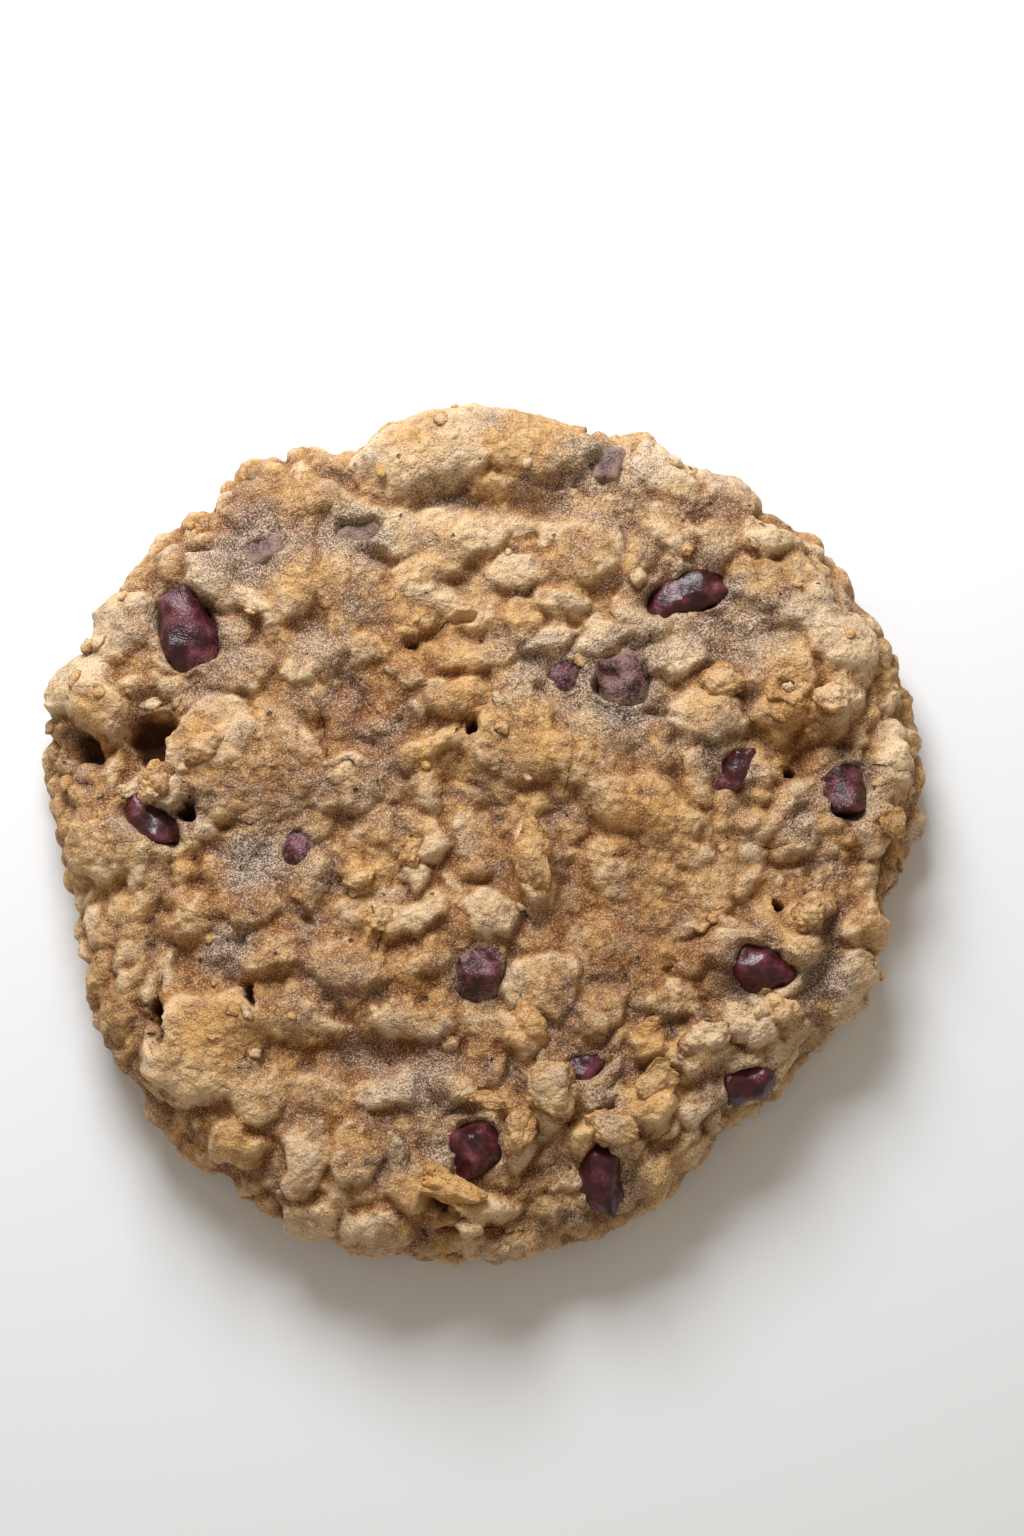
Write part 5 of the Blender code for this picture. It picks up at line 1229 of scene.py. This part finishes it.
# How far the corners are pushed, and the size of the noise that pushes them, in mm.
CHIP_JOLT, CHIP_JOLT_SIZE = 0.42, 0.8
CHIP_WRINKLES = ((2.4, 0.22), (0.9, 0.07))
CHIP_FACET, CHIP_SCALLOP = 2.7, 0.48
BEND_LEVEL = 0.4


def chip_place(x, y, lean, towards, stand):
    """Turns a chip so that its tip leans that far to that side, and sets it in the crust."""
    seat, out = wrap(np.array([x]), np.array([y]))
    centre = Vector(seat[0] + out[0] * stand) * MM
    upright = Vector((0, 0, 1)).rotation_difference(Vector(out[0])).to_matrix().to_4x4()
    side = Matrix.Rotation(math.radians(towards), 4, "Z")
    return Matrix.Translation(centre) @ upright @ side @ Matrix.Rotation(math.radians(lean), 4, "Y")


def draw_chip(name, chip):
    """One chip as a finished mesh in its place."""
    form, x, y, radius, length, lean, towards, bend, stand, _, _ = chip
    rings = [(share * radius * MM, up * length * MM) for share, up in FORMS[form]]
    own = Vector((x, y, 0))
    deselect()
    bpy.ops.mesh.primitive_circle_add(vertices=CHIP_SIDES, radius=rings[0][0], location=(0, 0, rings[0][1]))
    drop = bpy.context.object
    drop.name = name
    bpy.ops.object.transform_apply(location=True, rotation=True, scale=True)
    bpy.ops.object.mode_set(mode="EDIT")
    bpy.ops.mesh.select_all(action="SELECT")
    for (was, low), (now, high) in zip(rings, rings[1:]):
        bpy.ops.mesh.extrude_region_move(TRANSFORM_OT_translate={"value": (0, 0, high - low)})
        bpy.ops.transform.resize(value=(now / was, now / was, 1), center_override=(0, 0, high))
    bpy.ops.mesh.select_all(action="DESELECT")
    bpy.ops.mesh.select_non_manifold()
    bpy.ops.mesh.fill_holes(sides=0)
    bpy.ops.mesh.select_all(action="SELECT")
    bpy.ops.mesh.normals_make_consistent(inside=False)
    bpy.ops.object.mode_set(mode="OBJECT")
    for vert in drop.data.vertices:
        vert.co *= 1 + CHIP_JOLT * noise.noise(vert.co / (CHIP_JOLT_SIZE * MM) + own)
    for kind, levels in (("SIMPLE", 1), ("CATMULL_CLARK", 2)):
        rounding = drop.modifiers.new("rounding", "SUBSURF")
        rounding.subdivision_type = kind
        rounding.levels = rounding.render_levels = levels
        bpy.ops.object.modifier_apply(modifier="rounding")
    for vert in drop.data.vertices:
        spot = vert.co / MM
        folds = sum(rise * noise.noise(spot / size + own.yxz) for size, rise in CHIP_WRINKLES)
        folds += CHIP_SCALLOP * (noise.voronoi(spot / CHIP_FACET + own)[0][0] - 0.5)
        vert.co += vert.normal * folds * MM
        vert.co.y += bend * ((2 * spot.z / length) ** 2 - BEND_LEVEL) * MM
    drop.data.transform(chip_place(x, y, lean, towards, stand))
    bpy.ops.object.shade_smooth()
    return drop


# %% [markdown]
# ## The chips' finish
# The chips are burgundy rather than plain brown. They are half glossy where they are bare, rosy in patches
# that are partly the sugar's bloom and partly painted sheen, and greyed by flour and crumb along the edges
# where the dough grips them. So each point of a chip keeps how close it lies to the crust, looked up in a
# tree of the crust's points.

# %% Name the chocolate's colours and how floury each chip is
# How floury each chip is, from 0 bare to 1 buried.
DUSTING = {
    "chip_01": 0.5, "chip_02": 0.12, "chip_03": 0.65, "chip_04": 0.25, "chip_05": 0.7, "chip_06": 0.9,
    "chip_07": 0.38, "chip_08": 0.6, "chip_09": 0.15, "chip_10": 0.75, "chip_11": 0.35, "chip_12": 0.15,
    "chip_13": 0.22, "chip_14": 0.1, "chip_15": 1, "chip_16": 1, "chip_17": 0.92,
}
DARK_CHOCOLATE = tone(44, 14, 16)
BURGUNDY = tone(92, 33, 40)
ROSY_BLOOM_AND_SHEEN = tone(142, 80, 92)
CHIP_FLOUR = tone(150, 128, 122)
CHIP_CRUMB = tone(152, 124, 104)
CHIP_PIT = tone(52, 30, 28)
print("floury from", min(DUSTING.values()), "to", max(DUSTING.values()))

# %% Mix the chocolate
CHOCOLATE_GRAIN = 0.20 * MM


def make_chocolate(name, dusting):
    """One chip's material, from bare and glossy to floury."""
    finish = Finish(name)
    where = finish.places()
    bloom = finish.grain(where, 2.4, 2.0, 0.55) - 0.5
    grit = finish.grain(where, 0.42, 2.0, 0.7) - 0.5
    dots = finish.grain(where, 0.22, 1.0, 0.6) - 0.5
    gripped = finish.noted("gripped")
    lighter = (bloom + grit * 0.3).step(-0.24, 0.24)
    # Rosy patches: partly sugar bloom and partly a painted sheen.
    rosy_bloom_and_sheen = (bloom * 1.3 - gripped * 0.2 + dots * 0.7 + dusting * 0.2).step(0.02, 0.40)
    dusty = bloom * 0.9 + grit * 1.5 + dots * 0.9
    floury = (gripped * 0.38 + dusty + (dusting - 0.75) * 0.8).step(0.02, 0.55)
    buried = (gripped * 0.3 + grit * 0.8 + bloom * 0.6 + (dusting - 0.85) * 1.1).step(0.0, 0.4)
    pits = (dots * 1.2 + grit).step(0.02, 0.36) * (0.16 + 0.6 * dusting)
    colour = finish.paint(finish.blend(lighter, DARK_CHOCOLATE, BURGUNDY), (
        (rosy_bloom_and_sheen * 0.6, ROSY_BLOOM_AND_SHEEN), (floury * 0.85, CHIP_FLOUR), (buried * 0.9, CHIP_CRUMB), (pits * 0.8, CHIP_PIT),
    ))
    bumps = bloom * 1.6 + grit * (0.15 + dusting) + dots * (0.05 + 0.9 * dusting)
    normal = finish.node("Bump", {}, {"Strength": 0.9, "Distance": CHOCOLATE_GRAIN, "Height": bumps})
    rough = 0.30 + floury * 0.6
    return finish.close(Base_Color=colour, Roughness=rough, Normal=normal, Specular_IOR_Level=0.5)


# %% Set the chips
# How far from the dough its dust still clings, in mm.
GRIP = 0.75

crust_tree = kdtree.KDTree(len(points))
for number, point in enumerate(points):
    crust_tree.insert(point, number)
crust_tree.balance()
for name, chip in CHIPS.items():
    drop = draw_chip("dressed_" + name, chip)
    gaps = [crust_tree.find(vert.co / MM)[2] for vert in drop.data.vertices]
    note(drop, "gripped", np.exp(-np.array(gaps) / GRIP))
    drop.data.materials.append(make_chocolate("chocolate_" + name[-2:], DUSTING[name]))
    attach(drop, "root")
    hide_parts(name)
print(len(CHIPS), "chips of", triangles(drop), "triangles")

# %% [markdown]
# ## The two boxes
# The dressed cookie stays inside the imported one's box, and the two boxes are written side by side.

# %% Write the sizes and finish
dressed_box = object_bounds()
boxes = {"cad": cad_box, "dressed": dressed_box}
{name: [list(corner) for corner in box] for name, box in boxes.items()}
print("dressed box in mm:", [[round(c / MM, 1) for c in corner] for corner in dressed_box])
